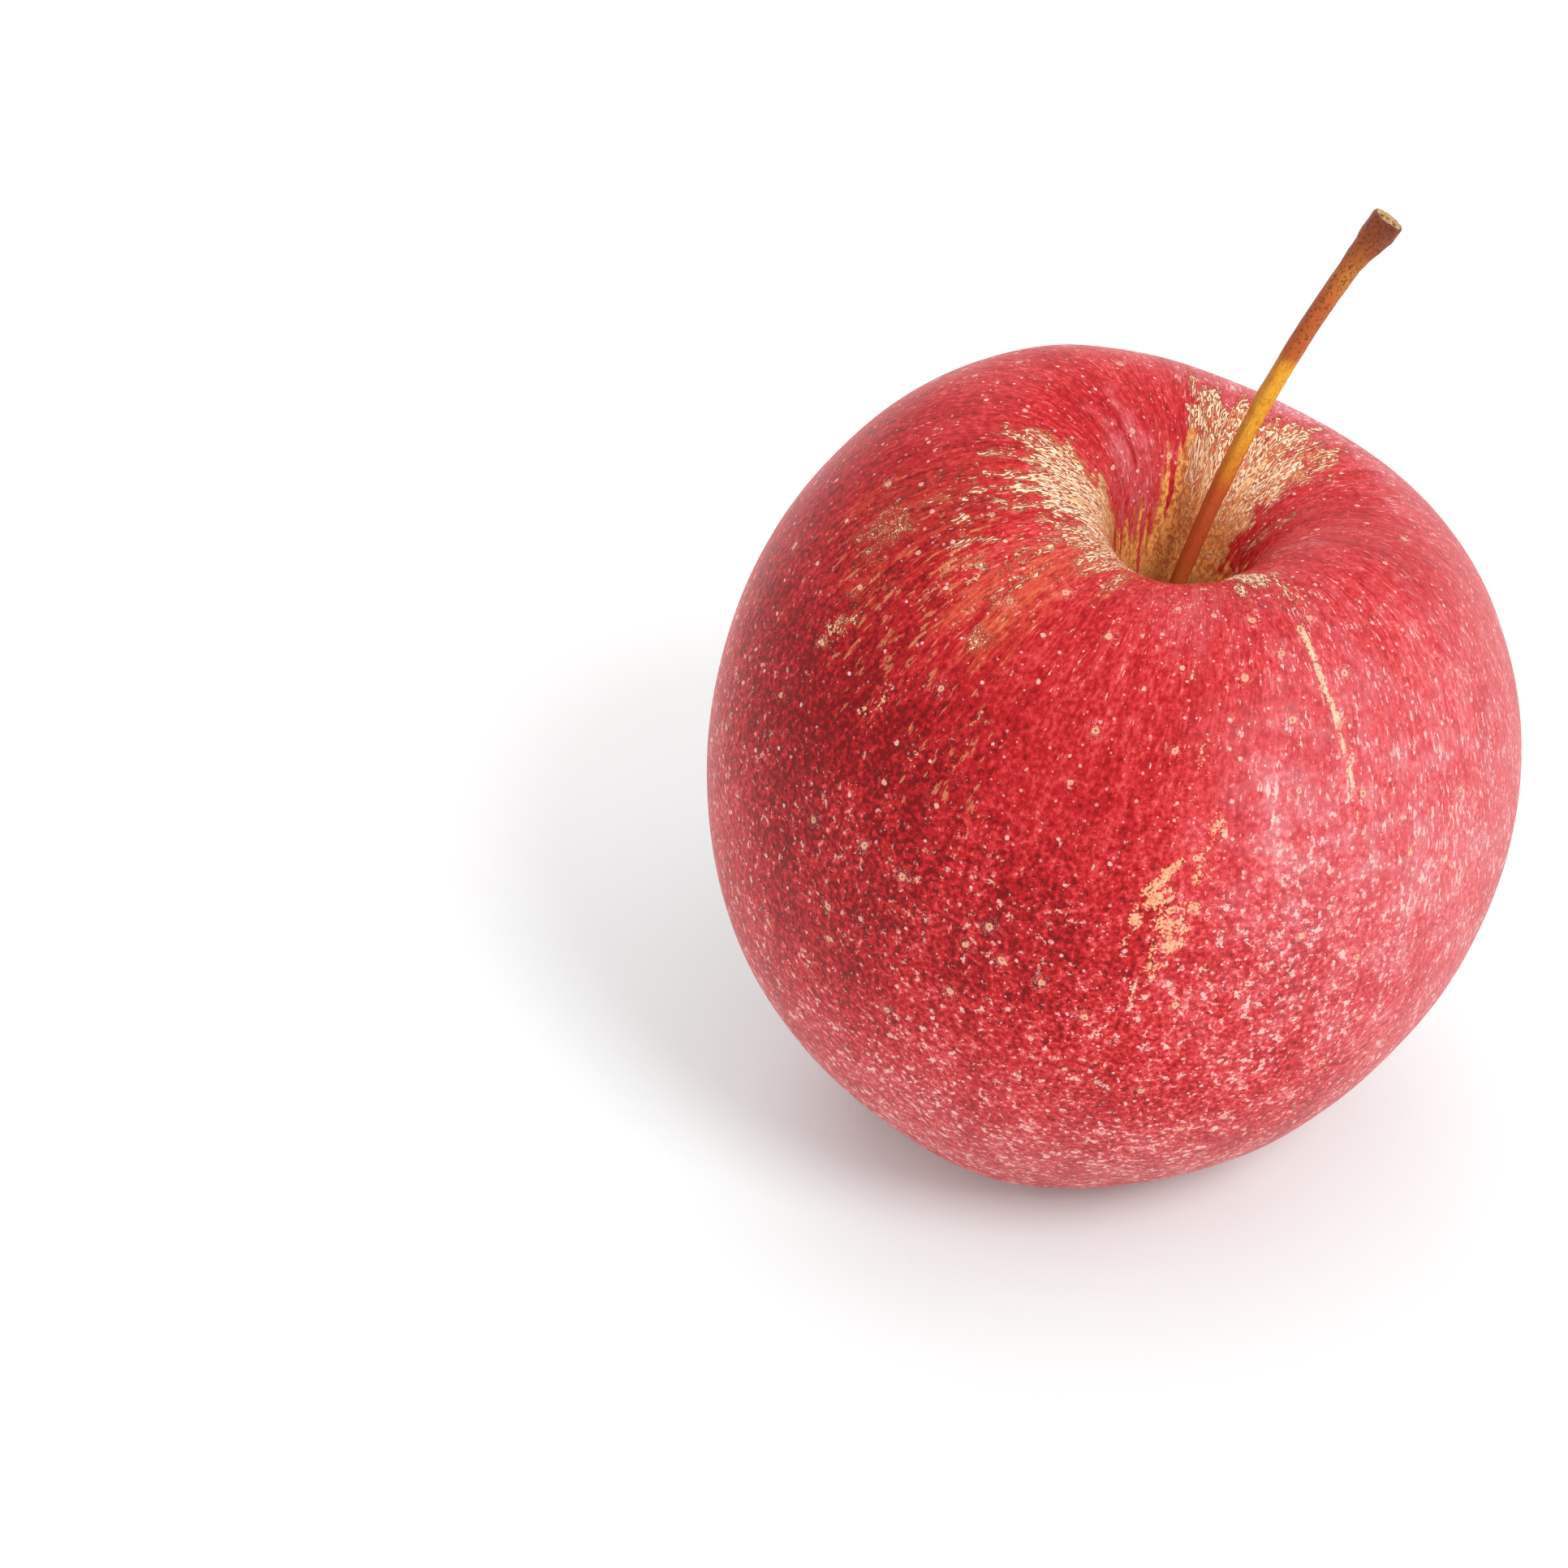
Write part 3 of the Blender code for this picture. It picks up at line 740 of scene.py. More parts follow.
# lays the colour over the one under it, by an amount from 0 to 1
def mixIn(amount, under, over):
    under, over = ((*colour, 1.0) if isinstance(colour, tuple) else colour for colour in (under, over))
    return addNode("ShaderNodeMix", {0: amount, 6: under, 7: over}, data_type="RGBA").outputs[2]


def noiseOf(vector, scale, detail=2.0, roughness=0.5):
    inputs = {"Vector": vector, "Scale": scale, "Detail": detail, "Roughness": roughness}
    return addNode("ShaderNodeTexNoise", inputs).outputs["Fac"]


# makes a pattern finer along each axis by its factor
def stretch(vector, factors):
    return addNode("ShaderNodeVectorMath", {0: vector, 1: factors}, operation="MULTIPLY").outputs[0]


# one axis of a vector: 0, 1 or 2
def lengthAlong(vector, axis):
    return addNode("ShaderNodeSeparateXYZ", {0: vector}).outputs[axis]


def field(tree, name, output="Fac"):
    return addNode("ShaderNodeAttribute", {}, tree, attribute_name=name).outputs[output]


def placeInMm(tree):
    place = addNode("ShaderNodeTexCoord", {}, tree).outputs["Object"]
    return stretch(place, (1000.0, 1000.0, 1000.0))


def newMaterial(name, constants):
    material = bpy.data.materials.new(name)
    material.use_nodes = True
    shader = material.node_tree.nodes["Principled BSDF"]
    for key, value in constants.items():
        shader.inputs[key].default_value = value
    return material, material.node_tree, shader


# the finished colour, roughness and relief in millimetres go to the shader
def setSurface(shader, colour, relief, rough=None):
    links = shader.id_data.links
    links.new(colour, shader.inputs["Base Color"])
    if rough is not None:
        links.new(rough, shader.inputs["Roughness"])
    bump = addNode("ShaderNodeBump", {"Height": relief, "Strength": 1.0, "Distance": 0.001})
    links.new(bump.outputs["Normal"], shader.inputs["Normal"])


# a group of nodes that several materials share, with its inputs and outputs
def newGroup(name, defaults, outputs):
    group = bpy.data.node_groups.new(name, "ShaderNodeTree")
    group.interface.new_socket("Vector", in_out="INPUT", socket_type="NodeSocketVector")
    for label, value in defaults.items():
        socket = group.interface.new_socket(label, in_out="INPUT", socket_type="NodeSocketFloat")
        socket.default_value = value
    for label in outputs:
        group.interface.new_socket(label, in_out="OUTPUT", socket_type="NodeSocketFloat")
    return group, group.nodes.new("NodeGroupInput").outputs, group.nodes.new("NodeGroupOutput").inputs


# flecks: small grains that thicken where Cover is high
def buildFlecks():
    group, given, out = newGroup("flecks", {"Grain": 2.0, "Cover": 0.3, "Softness": 0.06}, ("Mask", "Height"))
    grain = noiseOf(given["Vector"], given["Grain"], 2.5, 0.62)
    edge = doMath("SUBTRACT", 0.74, part(given["Cover"], 0.36))
    low = doMath("SUBTRACT", edge, given["Softness"])
    group.links.new(stepUp(grain, low, total(edge, given["Softness"])), out["Mask"])
    group.links.new(grain, out["Height"])
    return group


# fibres: long thin streaks along the third axis of Vector
def buildFibres():
    group, given, out = newGroup("fibres", {"Across": 20.0, "Along": 4.0, "Breaks": 0.5}, ("Value", "Fine"))
    factors = {0: given["Across"], 1: given["Across"], 2: given["Along"]}
    drawn = stretch(given["Vector"], addNode("ShaderNodeCombineXYZ", factors).outputs[0])
    group.links.new(noiseOf(drawn, 1.0, 3.0, given["Breaks"]), out["Value"])
    group.links.new(noiseOf(drawn, 4.3, 2.0, given["Breaks"]), out["Fine"])
    return group


# cork net: wandering lines with gaps, closing up where Cover is high
def buildCorkNet():
    group, given, out = newGroup("corkNet", {"Size": 1.0, "Cover": 0.5}, ("Mask", "Pits"))
    vector, size, cover = given["Vector"], given["Size"], given["Cover"]
    swirl = noiseOf(vector, part(size, 0.42), 2.0, 0.55)
    wave = doMath("SINE", part(swirl, 62.0))
    grain = noiseOf(vector, part(size, 2.3), 2.0, 0.6)
    patch = noiseOf(vector, part(size, 0.55), 3.0, 0.6)
    lines = total(part(wave, 0.27), part(grain, 1.1), part(patch, 0.9))
    edge = doMath("SUBTRACT", 1.72, part(cover, 0.86))
    mask = stepUp(lines, edge, total(edge, 0.11))
    shown = stepUp(cover, 0.02, 0.14)
    group.links.new(part(mask, shown), out["Mask"])
    pits = stepUp(lines, doMath("SUBTRACT", edge, 0.20), doMath("SUBTRACT", edge, 0.05))
    group.links.new(part(doMath("SUBTRACT", pits, mask, True), shown), out["Pits"])
    return group


flecks, fibres, corkNet = buildFlecks(), buildFibres(), buildCorkNet()
print("material helpers ready")

# skin colours are linear red, green and blue
skinLook = {
    "deepRed": (0.190, 0.003, 0.005),
    "crimson": (0.470, 0.010, 0.014),
    "brightRed": (0.660, 0.042, 0.046),
    "rose": (0.800, 0.180, 0.185),
    "bloomSheen": (0.600, 0.260, 0.300),
    "fleck": (0.960, 0.560, 0.530),
    "amber": (0.700, 0.240, 0.110),
    "spot": (0.860, 0.450, 0.280),
    "spotHeart": (0.230, 0.070, 0.020),
    "gold": (0.920, 0.440, 0.130),
    "goldDark": (0.520, 0.160, 0.040),
    "orange": (0.720, 0.180, 0.060),
    "cavity": (0.200, 0.066, 0.016),
    "blotch": (0.780, 0.300, 0.160),
    "corkGround": (0.600, 0.120, 0.060),
    "cork": (0.930, 0.540, 0.300),
    "corkPale": (0.980, 0.800, 0.600),
    "corkPit": (0.200, 0.035, 0.014),
    "specular": 0.12,
    "perMm": {
        "cloud": 0.075,
        "drift": 0.34,
        "grain": 1.9,
        "fleck": 1.35,
        "ragged": 3.4,
        "peel": 0.8,
    },
    "stretch": {
        "dash": (70.0, 70.0, 120.0),
        "ripple": (18.0, 18.0, 250.0),
        "fleck": (80.0, 80.0, 120.0),
        "amber": (44.0, 44.0, 60.0),
        "rimNet": (26.0, 26.0, 54.0),
    },
    "netSize": {
        "rim": 1.65,
        "flank": 2.4,
        "crackle": 3.0,
    },
    "strength": {
        "bloomSheen": 0.56,
        "fleck": 0.80,
        "amber": 0.70,
        "crackle": 0.34,
        "spot": 0.85,
        "heart": 0.80,
        "blotch": 0.80,
        "netGround": 0.50,
        "pit": 0.85,
        "net": 0.95,
        "scar": 0.84,
    },
    "relief": {
        "peel": 0.060,
        "grain": 0.060,
        "cork": 0.045,
        "spot": 0.020,
        "heart": -0.045,
        "pit": -0.015,
    },
}


# distance to the nearest spot's middle, in spot radii, with a ragged rim
def spotReach(place, name, ragged):
    centre, size = field(place.id_data, name + "Centre", "Vector"), field(place.id_data, name + "Size")
    away = addNode("ShaderNodeVectorMath", {0: place, 1: centre}, operation="DISTANCE").outputs["Value"]
    return doMath("SUBTRACT", doMath("DIVIDE", away, size), centred(ragged, 1.3)), away


def skinMaterial(look):
    material, tree, shader = newMaterial("apple_skin", {"IOR": 1.46, "Specular IOR Level": look["specular"]})
    place = placeInMm(tree)
    way = field(tree, "skinWay", "Vector")
    deepAndShade, paleBloomAndSheen, streaky = field(tree, "deepAndShade"), field(tree, "paleBloomAndSheen"), field(tree, "streaky")
    gold, orange, shade = field(tree, "gold"), field(tree, "orange"), field(tree, "shade")
    perMm, drawn, netSize, strength = look["perMm"], look["stretch"], look["netSize"], look["strength"]

    # ground colour: broad clouds, streaks from calyx to stem and a fine grain
    cloud = noiseOf(place, perMm["cloud"], 3.0, 0.55)
    drift = noiseOf(place, perMm["drift"], 3.0, 0.62)
    grain = noiseOf(place, perMm["grain"], 2.0, 0.60)
    broad = useGroup(fibres, Vector=way, Across=9.0, Along=3.4, Breaks=0.55)
    narrow = useGroup(fibres, Vector=way, Across=46.0, Along=17.0, Breaks=0.66)
    dashGrain = noiseOf(stretch(way, drawn["dash"]), 1.0, 3.0, 0.70)
    dashes = total(part(dashGrain, 0.62), part(grain, 0.38))
    fine = between(streaky, grain, dashes)
    middle = between(streaky, drift, narrow["Value"])
    # the tone darkens with the deep field, part deeper crimson and part painted shade, and lightens with the
    # pale field, part bloom and part painted highlight
    tone = total(centred(cloud, 0.80), centred(broad["Value"], 0.85), centred(middle, 0.95),
                 centred(fine, 4.00), 0.40, part(paleBloomAndSheen, 0.38), part(deepAndShade, -0.62))
    ground = mixIn(stepUp(tone, -0.55, 0.25), look["deepRed"], look["crimson"])
    ground = mixIn(stepUp(tone, 0.15, 0.75), ground, look["brightRed"])
    ground = mixIn(stepUp(tone, 0.70, 1.30), ground, look["rose"])

    # orange and gold in and round the cavity, drawn out in fine rays
    rays = total(centred(narrow["Fine"], 0.9), centred(narrow["Value"], 0.7), centred(dashes, 0.5))
    orangeMask = stepUp(total(orange, part(rays, 0.8)), 0.16, 0.90)
    ground = mixIn(orangeMask, ground, look["orange"])
    goldMask = stepUp(total(gold, part(rays, 0.7)), 0.20, 0.90)
    ripples = noiseOf(stretch(way, drawn["ripple"]), 1.0, 2.0, 0.6)
    goldGrain = total(part(ripples, 0.6), part(fine, 0.4))
    goldTone = mixIn(stepUp(goldGrain, 0.43, 0.55), look["goldDark"], look["gold"])
    ground = mixIn(goldMask, ground, goldTone)
    # painted shade: deep in the cavity the colour darkens to brown
    dark = total(shade, part(centred(goldGrain, 2.6), stepUp(shade, 0.0, 0.3)))
    ground = mixIn(stepUp(dark, 0.15, 1.05), ground, look["cavity"])

    # waxy bloom haze with painted sheen and highlight, and pale flecks in clusters, thickest on the pale
    # side, which is partly painted highlight, and at the base
    clear = inverse(doMath("MAXIMUM", goldMask, part(orangeMask, 0.6)))
    cluster = stepUp(total(part(drift, 0.75), part(cloud, 0.25)), 0.40, 0.68)
    bloomSheenMask = part(total(part(paleBloomAndSheen, 1.25), 0.04), total(part(cluster, 0.65), 0.35))
    bloomSheenMask = part(bloomSheenMask, clear)
    ground = mixIn(part(bloomSheenMask, strength["bloomSheen"]), ground, look["bloomSheen"])
    roundFlecks = noiseOf(place, perMm["fleck"], 3.0, 0.66)
    longFlecks = noiseOf(stretch(way, drawn["fleck"]), 1.0, 3.0, 0.66)
    fleckWay = between(streaky, roundFlecks, longFlecks)
    cover = total(part(paleBloomAndSheen, 0.100), part(cluster, 0.065), part(deepAndShade, -0.01), part(streaky, -0.045), -0.022)
    fleckMask = stepUp(total(fleckWay, cover), 0.590, 0.670)
    fleckMask = part(fleckMask, clear)
    fleckTone = mixIn(part(deepAndShade, 0.50), look["fleck"], look["amber"])
    ground = mixIn(part(fleckMask, strength["fleck"]), ground, fleckTone)

    # amber flecks on the left flank, drawn out towards the stem
    amber = field(tree, "amber")
    amberWay = noiseOf(stretch(way, drawn["amber"]), 1.0, 3.0, 0.68)
    amberMask = stepUp(total(amberWay, part(amber, 0.10)), 0.635, 0.720)
    amberMask = part(amberMask, stepUp(amber, 0.0, 0.3))
    ground = mixIn(part(amberMask, strength["amber"]), ground, look["amber"])

    # spots: ragged tan dots, the larger with a dark heart and faint crackle round them
    ragged = noiseOf(place, perMm["ragged"], 2.0, 0.6)
    small, _ = spotReach(place, "fine", ragged)
    smallMask = part(inverse(stepUp(small, 0.45, 1.10)), clear)
    smallMask = part(smallMask, total(part(deepAndShade, -0.50), 0.70))
    ground = mixIn(smallMask, ground, look["fleck"])
    big, bigAway = spotReach(place, "big", ragged)
    strong = stepUp(field(tree, "bigSize"), 0.22, 0.34)
    near = part(inverse(stepUp(bigAway, 0.5, 2.3)), strong)
    crackle = useGroup(corkNet, Vector=place, Size=netSize["crackle"], Cover=part(near, 0.62))
    crackleMask = part(crackle["Mask"], clear)
    ground = mixIn(part(crackleMask, strength["crackle"]), ground, look["fleck"])
    bigMask = part(inverse(stepUp(big, 0.55, 1.15)), inverse(shade))
    spotTone = mixIn(strong, look["fleck"], look["spot"])
    ground = mixIn(part(bigMask, strength["spot"]), ground, spotTone)
    heart = part(inverse(stepUp(big, 0.05, 0.42)), strong)
    ground = mixIn(part(heart, strength["heart"]), ground, look["spotHeart"])

    # soft corky blotches with ragged rims
    blotch = total(field(tree, "blotch"), centred(ragged, 2.2), centred(drift, 1.2))
    blotchMask = stepUp(blotch, 0.48, 0.72)
    blotchTone = mixIn(stepUp(ragged, 0.40, 0.60), look["blotch"], look["cork"])
    ground = mixIn(part(blotchMask, strength["blotch"]), ground, blotchTone)

    # russet net: drawn out towards the stem near the rim, rounder further down
    russet = field(tree, "russet")
    shareUp = lengthAlong(way, 2)
    nearRim = total(part(stepUp(shareUp, 0.790, 0.860), 0.14), 0.86)
    deepInside = part(stepUp(shareUp, 0.840, 0.900), 0.46)
    russet = part(russet, nearRim)
    russet = part(russet, inverse(deepInside))
    high = stepUp(streaky, 0.90, 1.00)
    rimWay = stretch(way, drawn["rimNet"])
    rimNet = useGroup(corkNet, Vector=rimWay, Size=netSize["rim"], Cover=part(russet, high))
    flankNet = useGroup(corkNet, Vector=place, Size=netSize["flank"], Cover=part(russet, inverse(high)))
    netMask = doMath("MAXIMUM", rimNet["Mask"], flankNet["Mask"])
    pits = doMath("MAXIMUM", rimNet["Pits"], flankNet["Pits"])
    netGround = stepUp(total(russet, centred(ragged, 0.5)), 0.35, 0.90)
    ground = mixIn(part(netGround, strength["netGround"]), ground, look["corkGround"])
    pitTone = mixIn(part(goldMask, 0.8), look["corkPit"], look["goldDark"])
    ground = mixIn(part(pits, strength["pit"]), ground, pitTone)
    corkTone = mixIn(stepUp(ragged, 0.36, 0.62), look["cork"], look["corkPale"])
    corkTone = mixIn(part(gold, 0.60), corkTone, look["gold"])
    # painted shade on the cork net deep in the cavity
    corkTone = mixIn(stepUp(shade, 0.0, 0.7), corkTone, look["cavity"])
    ground = mixIn(part(netMask, strength["net"]), ground, corkTone)

    # scars: thin corky lines with broken edges
    scarEdge = total(field(tree, "scar"), centred(ragged, 2.2))
    scarMask = inverse(stepUp(scarEdge, 0.25, 0.75))
    ground = mixIn(part(scarMask, strength["scar"]), ground, corkTone)

    cork = doMath("MAXIMUM", netMask, scarMask)
    rough = total(part(fine, 0.16), part(cork, 0.26), part(bloomSheenMask, 0.10), 0.30)
    peel = noiseOf(place, perMm["peel"], 3.0, 0.55)
    heights = {"peel": peel, "grain": fine, "cork": cork, "spot": bigMask, "heart": heart, "pit": pits}
    setSurface(shader, ground, addUp(heights, look["relief"]), rough)
    return material


skin.data.materials.append(skinMaterial(skinLook))
print("skin material ready")

# stem bark: yellow below the node and brown above it, with a broken, pithy end
stemLook = {
    "ramp": (
        (0.00, (0.300, 0.080, 0.014)),
        (0.20, (0.560, 0.160, 0.030)),
        (0.27, (0.560, 0.110, 0.034)),
        (0.40, (0.640, 0.140, 0.036)),
        (0.44, (0.800, 0.300, 0.030)),
        (0.54, (0.920, 0.470, 0.030)),
        (0.67, (0.900, 0.430, 0.020)),
        (0.695, (0.540, 0.120, 0.018)),
        (0.80, (0.520, 0.120, 0.014)),
        (0.88, (0.560, 0.190, 0.020)),
        (0.945, (0.300, 0.070, 0.010)),
        (1.00, (0.120, 0.020, 0.006)),
    ),
    "red": (0.520, 0.070, 0.022),
    "edge": (0.300, 0.060, 0.010),
    "speck": (0.080, 0.020, 0.006),
    "pith": (0.460, 0.240, 0.080),
    "pithPale": (0.680, 0.470, 0.210),
    "ring": (0.090, 0.030, 0.010),
    "relief": {
        "fine": 0.06,
        "fibre": 0.06,
        "speck": 0.02,
        "pith": 0.20,
        "ring": -0.08,
    },
}


def stemMaterial(look):
    material, tree, shader = newMaterial("stem_bark", {"IOR": 1.45, "Specular IOR Level": 0.35})
    place = placeInMm(tree)
    way = field(tree, "stemWay", "Vector")
    left, shareUp = lengthAlong(way, 1), lengthAlong(way, 2)
    cut = field(tree, "cut")
    grainWay = useGroup(fibres, Vector=way, Across=5.0, Along=26.0, Breaks=0.6)
    share = total(shareUp, centred(grainWay["Value"], 0.030))
    ramp = addNode("ShaderNodeValToRGB", {0: share})
    marks = ramp.color_ramp.elements
    marks[0].position, marks[0].color = look["ramp"][0][0], (*look["ramp"][0][1], 1.0)
    marks[1].position, marks[1].color = look["ramp"][-1][0], (*look["ramp"][-1][1], 1.0)
    for position, colour in look["ramp"][1:-1]:
        marks.new(position).color = (*colour, 1.0)
    bark = ramp.outputs["Color"]
    # the side that faces right and down is redder on the lower half; the left edge is darker
    right = part(left, -1.0)
    lower = part(stepUp(shareUp, 0.14, 0.26), inverse(stepUp(shareUp, 0.52, 0.68)))
    redSide = stepUp(total(right, centred(grainWay["Value"], 1.2)), 0.25, 0.85)
    bark = mixIn(part(part(redSide, lower), 0.75), bark, look["red"])
    leftSide = stepUp(total(left, centred(grainWay["Value"], 0.8)), 0.45, 1.05)
    bark = mixIn(part(leftSide, 0.55), bark, look["edge"])
    bark = mixIn(part(stepUp(grainWay["Fine"], 0.46, 0.70), 0.55), bark, look["edge"])
    flush = stepUp(noiseOf(place, 1.6, 3.0, 0.65), 0.50, 0.68)
    bark = mixIn(part(flush, 0.42), bark, look["red"])
    upper = stepUp(shareUp, 0.64, 0.76)
    speckCover = total(part(upper, 0.34), 0.10)
    specks = useGroup(flecks, Vector=place, Grain=3.4, Softness=0.03, Cover=speckCover)
    bark = mixIn(part(specks["Mask"], 0.72), bark, look["speck"])
    # the broken end
    pithGrain = noiseOf(place, 3.0, 3.0, 0.65)
    pith = mixIn(stepUp(pithGrain, 0.38, 0.62), look["pith"], look["pithPale"])
    ringAt = total(cut, centred(pithGrain, 0.5))
    ringNear = doMath("ABSOLUTE", doMath("SUBTRACT", ringAt, 0.52))
    ringGaps = stepUp(noiseOf(place, 1.3, 2.0), 0.36, 0.50)
    ringMask = part(inverse(stepUp(ringNear, 0.04, 0.13)), ringGaps)
    pith = mixIn(part(ringMask, 0.85), pith, look["ring"])
    pith = mixIn(inverse(stepUp(pithGrain, 0.30, 0.38)), pith, look["ring"])
    face = stepUp(total(cut, centred(pithGrain, 0.12)), 0.10, 0.20)
    bark = mixIn(face, bark, pith)
    rough = total(part(grainWay["Fine"], 0.25), part(face, 0.30), 0.30)
    heights = {"fine": grainWay["Fine"], "fibre": grainWay["Value"], "speck": specks["Mask"],
               "pith": part(face, pithGrain), "ring": part(face, ringMask)}
    setSurface(shader, bark, addUp(heights, look["relief"]), rough)
    return material


stem.data.materials.append(stemMaterial(stemLook))
print("stem material ready")

# calyx: five dried sepals round the tube, and the stamens inside it
sepalForm = {
    "count": 5,
    "ringRadius": 0.00267,
    "width": 0.0028,
    "length": 0.0060,
    "thickness": 0.00030,
    "gap": 0.0003,
    "waist": 0.2,
    "flare": 0.45,
    "curl": 0.12,
    "taper": 0.88,
    "rows": 44,
    "columns": 14,
}


# one sepal: a thin blade that goes down from the ring, drawn in at its waist and flared at its tip
def sepalMesh(form, index):
    under = rings[rings[:, 2] > 0][:60]
    under = under[:int(np.argmin(under[:, 1])) + 1]
    ringRadius, half = form["ringRadius"], form["thickness"] / 2
    top = float(np.interp(ringRadius + 0.0002, under[:, 0], under[:, 1])) - form["gap"] - 0.00002
    middle = fruitForm["lobeHeading"] + 2 * math.pi * index / form["count"]
    along = np.repeat(np.linspace(0.0, 1.0, form["rows"]), form["columns"])
    across = np.tile(np.linspace(-1.0, 1.0, form["columns"]), form["rows"])
    radius = ringRadius * (1 - form["waist"] * np.sin(math.pi * along) + form["flare"] * along ** 3)
    height = top - form["length"] * along * (1 - form["curl"] * along ** 2)
    ragged = noiseAt(np.stack((across * 2.0, along * 9.0, np.full_like(along, index * 3.0)), -1), 1.0, 5)
    halfAngle = form["width"] / 2 / ringRadius * (1 - form["taper"] * along ** 1.3) * (0.94 + 0.10 * ragged)
    heading = middle + halfAngle * across
    rolled = -0.00018 * across ** 2 * along + 0.00010 * ragged * along
    sides = []
    for face in (half, -half):
        thin = face * (1 - 0.55 * across ** 4) * (1 - 0.5 * along)
        sides.append(growAt(np.maximum(radius + rolled + thin, 0.0002), heading, height))
    count = form["rows"] * form["columns"]
    faces = gridFaces(form["rows"], form["columns"], closed=False)
    faces += [tuple(count + corner for corner in reversed(face)) for face in faces]
    rim = list(range(form["columns"]))
    rim += [row * form["columns"] + form["columns"] - 1 for row in range(1, form["rows"])]
    rim += [count - 1 - column for column in range(1, form["columns"])]
    rim += [row * form["columns"] for row in range(form["rows"] - 2, 0, -1)]
    for here, after in zip(rim, rim[1:] + rim[:1]):
        faces.append((after, here, here + count, after + count))
    return np.vstack(sides), faces, np.tile(np.stack((across, along, np.zeros_like(along)), -1), (2, 1))


# a thin round thread along a row of points, closed at both ends
def threadMesh(points, radii, sides=8):
    points = np.array(points)
    ways = np.gradient(points, axis=0)
    ways /= np.linalg.norm(ways, axis=1, keepdims=True)
    verts = []
    for point, way, radius in zip(points, ways, radii):
        first = np.cross(way, (0.37, 0.91, 0.17))
        first /= np.linalg.norm(first)
        second = np.cross(way, first)
        for i in range(sides):
            angle = 2 * math.pi * i / sides
            verts.append(point + (first * math.cos(angle) + second * math.sin(angle)) * radius)
    faces = gridFaces(len(points), sides)
    last = (len(points) - 1) * sides
    faces.append(tuple(reversed(range(sides))))
    faces.append(tuple(last + i for i in range(sides)))
    return verts, faces


tuftForm = {
    "stamens": 20,
    "styles": 5,
    "reach": 0.00104,
    "top": 0.0131,
    "tip": 0.0068,
    "thread": 0.00007,
    "anther": 0.00016,
    "style": 0.00013,
    "seed": 21,
}


# stamens and styles hang inside the tube from a plug at its top
def tuftMesh(form):
    chance = random.Random(form["seed"])
    verts, faces = [], []

    def add(points, radii, sides):
        newVerts, newFaces = threadMesh(points, radii, sides)
        start = len(verts)
        verts.extend(newVerts)
        faces.extend(tuple(start + i for i in face) for face in newFaces)

    shares = np.linspace(0.0, 1.0, 22)
    for i in range(form["stamens"] + form["styles"]):
        isStyle = i >= form["stamens"]
        heading = 2 * math.pi * i / (form["styles"] if isStyle else form["stamens"])
        heading += chance.uniform(-0.1, 0.1)
        start = form["reach"] * (0.25 if isStyle else 0.86)
        end = form["reach"] * (0.35 if isStyle else chance.uniform(0.55, 1.0))
        low = form["tip"] + chance.uniform(0.0, 0.0010)
        bend = chance.uniform(-0.5, 0.5)
        heights = form["top"] + (low - form["top"]) * shares
        bow = 0.0 if isStyle else 0.22 * form["reach"]
        radius = start + (end - start) * shares ** 2 - bow * np.sin(shares * math.pi)
        points = growAt(np.maximum(radius, 0.00002), heading + bend * shares ** 2, heights)
        thick = np.full(22, form["style"] if isStyle else form["thread"])
        thick *= 1 + 0.18 * np.sin(shares * 31 + i)
        if not isStyle:
            thick = thick + form["anther"] * np.exp(-((shares - 0.95) / 0.035) ** 2)
        thick[-1] *= 0.45
        add(points, thick, 8)
    plugHeights = np.linspace(form["top"], form["top"] - 0.0012, 6)
    plug = growAt(np.full(6, 0.00001), 0.0, plugHeights)
    add(plug, form["reach"] * np.array((0.9, 1.0, 1.0, 0.96, 0.86, 0.55)), 24)
    return verts, faces


huskLook = {
    "dark": (0.060, 0.026, 0.010),
    "middle": (0.190, 0.100, 0.044),
    "tip": (0.100, 0.050, 0.024),
    "hair": (0.520, 0.420, 0.290),
}


def huskMaterial(look):
    material, tree, shader = newMaterial("sepal_husk", {"Specular IOR Level": 0.2, "Roughness": 0.85})
    place = placeInMm(tree)
    way = field(tree, "bladeWay", "Vector")
    veins = useGroup(fibres, Vector=way, Across=7.0, Along=2.0, Breaks=0.6)
    husk = mixIn(stepUp(veins["Value"], 0.32, 0.64), look["dark"], look["middle"])
    along = lengthAlong(way, 1)
    husk = mixIn(part(stepUp(along, 0.45, 1.0), 0.7), husk, look["tip"])
    hairs = useGroup(flecks, Vector=place, Grain=4.2, Cover=0.62, Softness=0.05)
    husk = mixIn(part(hairs["Mask"], 0.55), husk, look["hair"])
    setSurface(shader, husk, total(part(veins["Value"], 0.10), part(hairs["Mask"], 0.04)))
    return material


def flossMaterial(look):
    material, tree, shader = newMaterial("stamen_floss", {"Specular IOR Level": 0.2, "Roughness": 0.8})
    place = placeInMm(tree)
    grains = useGroup(flecks, Vector=place, Grain=3.0, Cover=0.7, Softness=0.08)
    floss = mixIn(grains["Mask"], look["dark"], look["middle"])
    # painted shade: the threads darken higher up, deep inside the tube
    deeper = stepUp(lengthAlong(place, 2), 8.0, 12.0)
    floss = mixIn(part(deeper, 0.6), floss, look["dark"])
    setSurface(shader, floss, part(grains["Height"], 0.06))
    return material


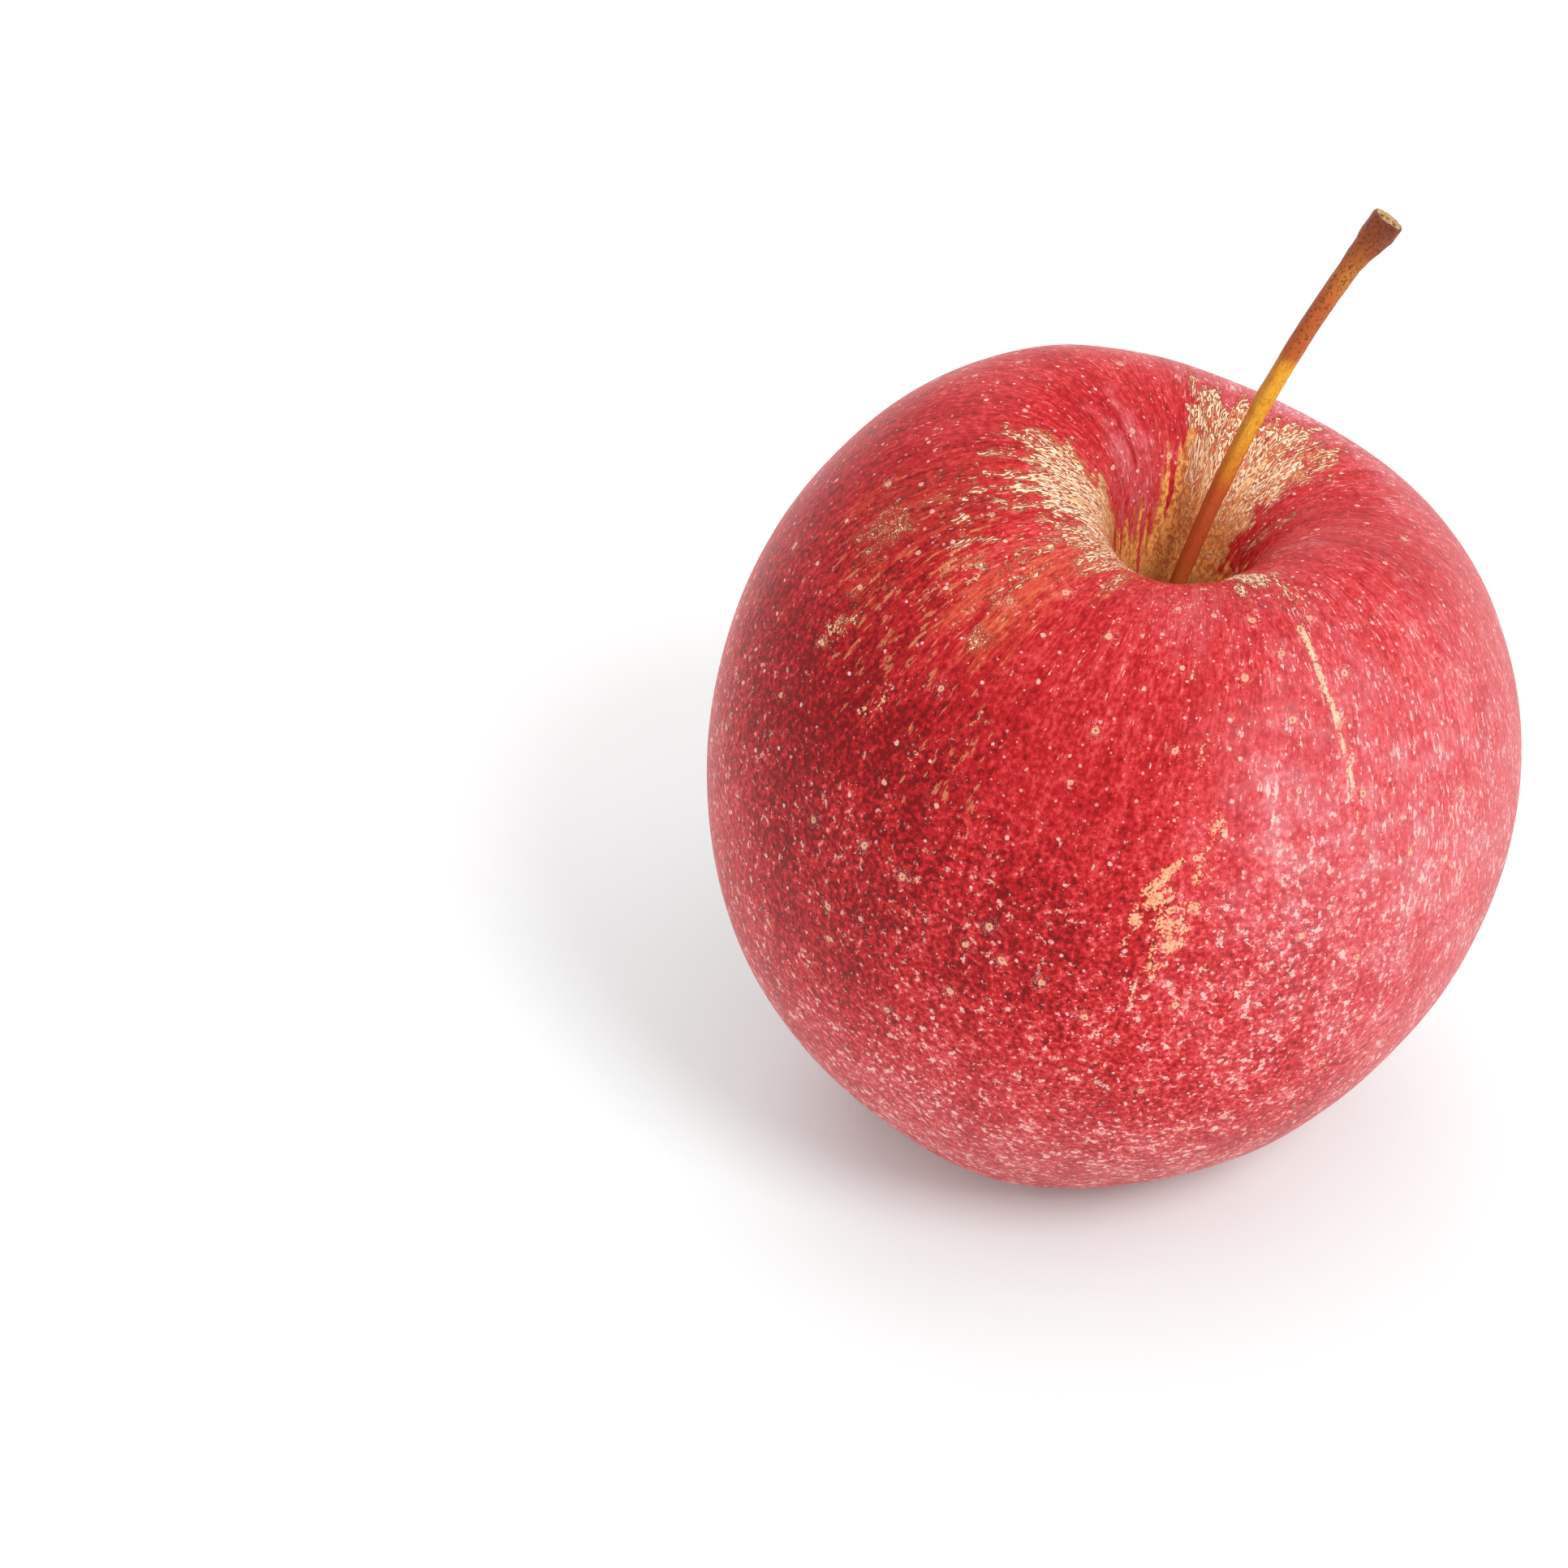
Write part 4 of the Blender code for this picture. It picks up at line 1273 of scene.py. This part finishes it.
husk = huskMaterial(huskLook)
for index in range(sepalForm["count"]):
    verts, faces, bladeWay = sepalMesh(sepalForm, index)
    sepal = addPiece(f"dried_sepal_{index + 1}", verts, faces, f"sepal_{index + 1}", "sepal_husk")
    storeField(sepal.data, "bladeWay", "FLOAT_VECTOR", "POINT", bladeWay)
    sepal.data.materials.append(husk)
tuft = addPiece("stamen_threads", *tuftMesh(tuftForm), "stamen_tuft", "stamen_floss")
tuft.data.materials.append(flossMaterial(huskLook))
print("calyx ready")


# painted: the table is tinted cooler under the apple to offset the red light the apple throws down on it
tableLook = {
    "plain": ((0.92, 0.93, 0.93), (0.94, 0.95, 0.95)),
    "redBounceOffset": (0.80, 0.94, 0.94),
    "cloud": 0.02,
    "fadeMm": (20.0, 85.0),
    "glow": 0.08,
}


# the table top also glows faintly white though it is no lamp, lifting it to white and lightening the shade
# under the apple
def tableMaterial(look):
    material, tree, shader = newMaterial("table_top", {"Specular IOR Level": 0.2, "Roughness": 0.7,
                                                       "Emission Color": (1.0, 1.0, 1.0, 1.0),
                                                       "Emission Strength": look["glow"]})
    place = placeInMm(tree)
    plain = mixIn(stepUp(noiseOf(place, look["cloud"], 3.0), 0.2, 0.8), *look["plain"])
    away = addNode("ShaderNodeVectorMath", {0: place}, operation="LENGTH").outputs["Value"]
    plain = mixIn(stepUp(away, *look["fadeMm"]), look["redBounceOffset"], plain)
    tree.links.new(plain, shader.inputs["Base Color"])
    return material


# camera: metres, degrees and millimetres of lens
cameraPlace = {
    "aim": (-0.0308, 0.0023, 0.0337),
    "elevation": 38.0,
    "distance": 0.8,
    "lens": 195.73,
}
elevation = math.radians(cameraPlace["elevation"])
camera = bpy.data.objects.new("camera", bpy.data.cameras.new("camera"))
camera.data.lens = cameraPlace["lens"]
camera.data.sensor_width = 36.0
camera.data.clip_start = 0.01
aim = Vector(cameraPlace["aim"])
camera.location = aim + Vector((0.0, -math.cos(elevation), math.sin(elevation))) * cameraPlace["distance"]
camera.rotation_euler = (math.pi / 2 - elevation, 0.0, 0.0)
scene.collection.objects.link(camera)
scene.camera = camera

bpy.ops.mesh.primitive_plane_add(size=6.0)
floor = bpy.context.object
floor.name = "table_top"
floor.data.materials.append(tableMaterial(tableLook))

lightPlan = [
    # name, place, size, power in watts
    ("key", (0.50, -0.70, 0.95), 0.46, 7.0),
    ("side", (1.30, 0.10, 0.75), 0.80, 2.4),
    ("back", (-0.30, 1.30, 1.10), 1.20, 5.0),
]
for name, place, size, power in lightPlan:
    data = bpy.data.lights.new(name, "AREA")
    data.shape = "DISK"
    data.size = size
    data.energy = power
    light = bpy.data.objects.new(name, data)
    light.location = place
    light.rotation_euler = (Vector((0, 0, 0.035)) - Vector(place)).to_track_quat("-Z", "Y").to_euler()
    scene.collection.objects.link(light)
worldGlow = 0.78
world = bpy.data.worlds.new("studio")
world.use_nodes = True
world.node_tree.nodes["Background"].inputs["Color"].default_value = (1, 1, 1, 1)
world.node_tree.nodes["Background"].inputs["Strength"].default_value = worldGlow
scene.world = world
scene.view_settings.view_transform = "Standard"
print("camera and lights ready")
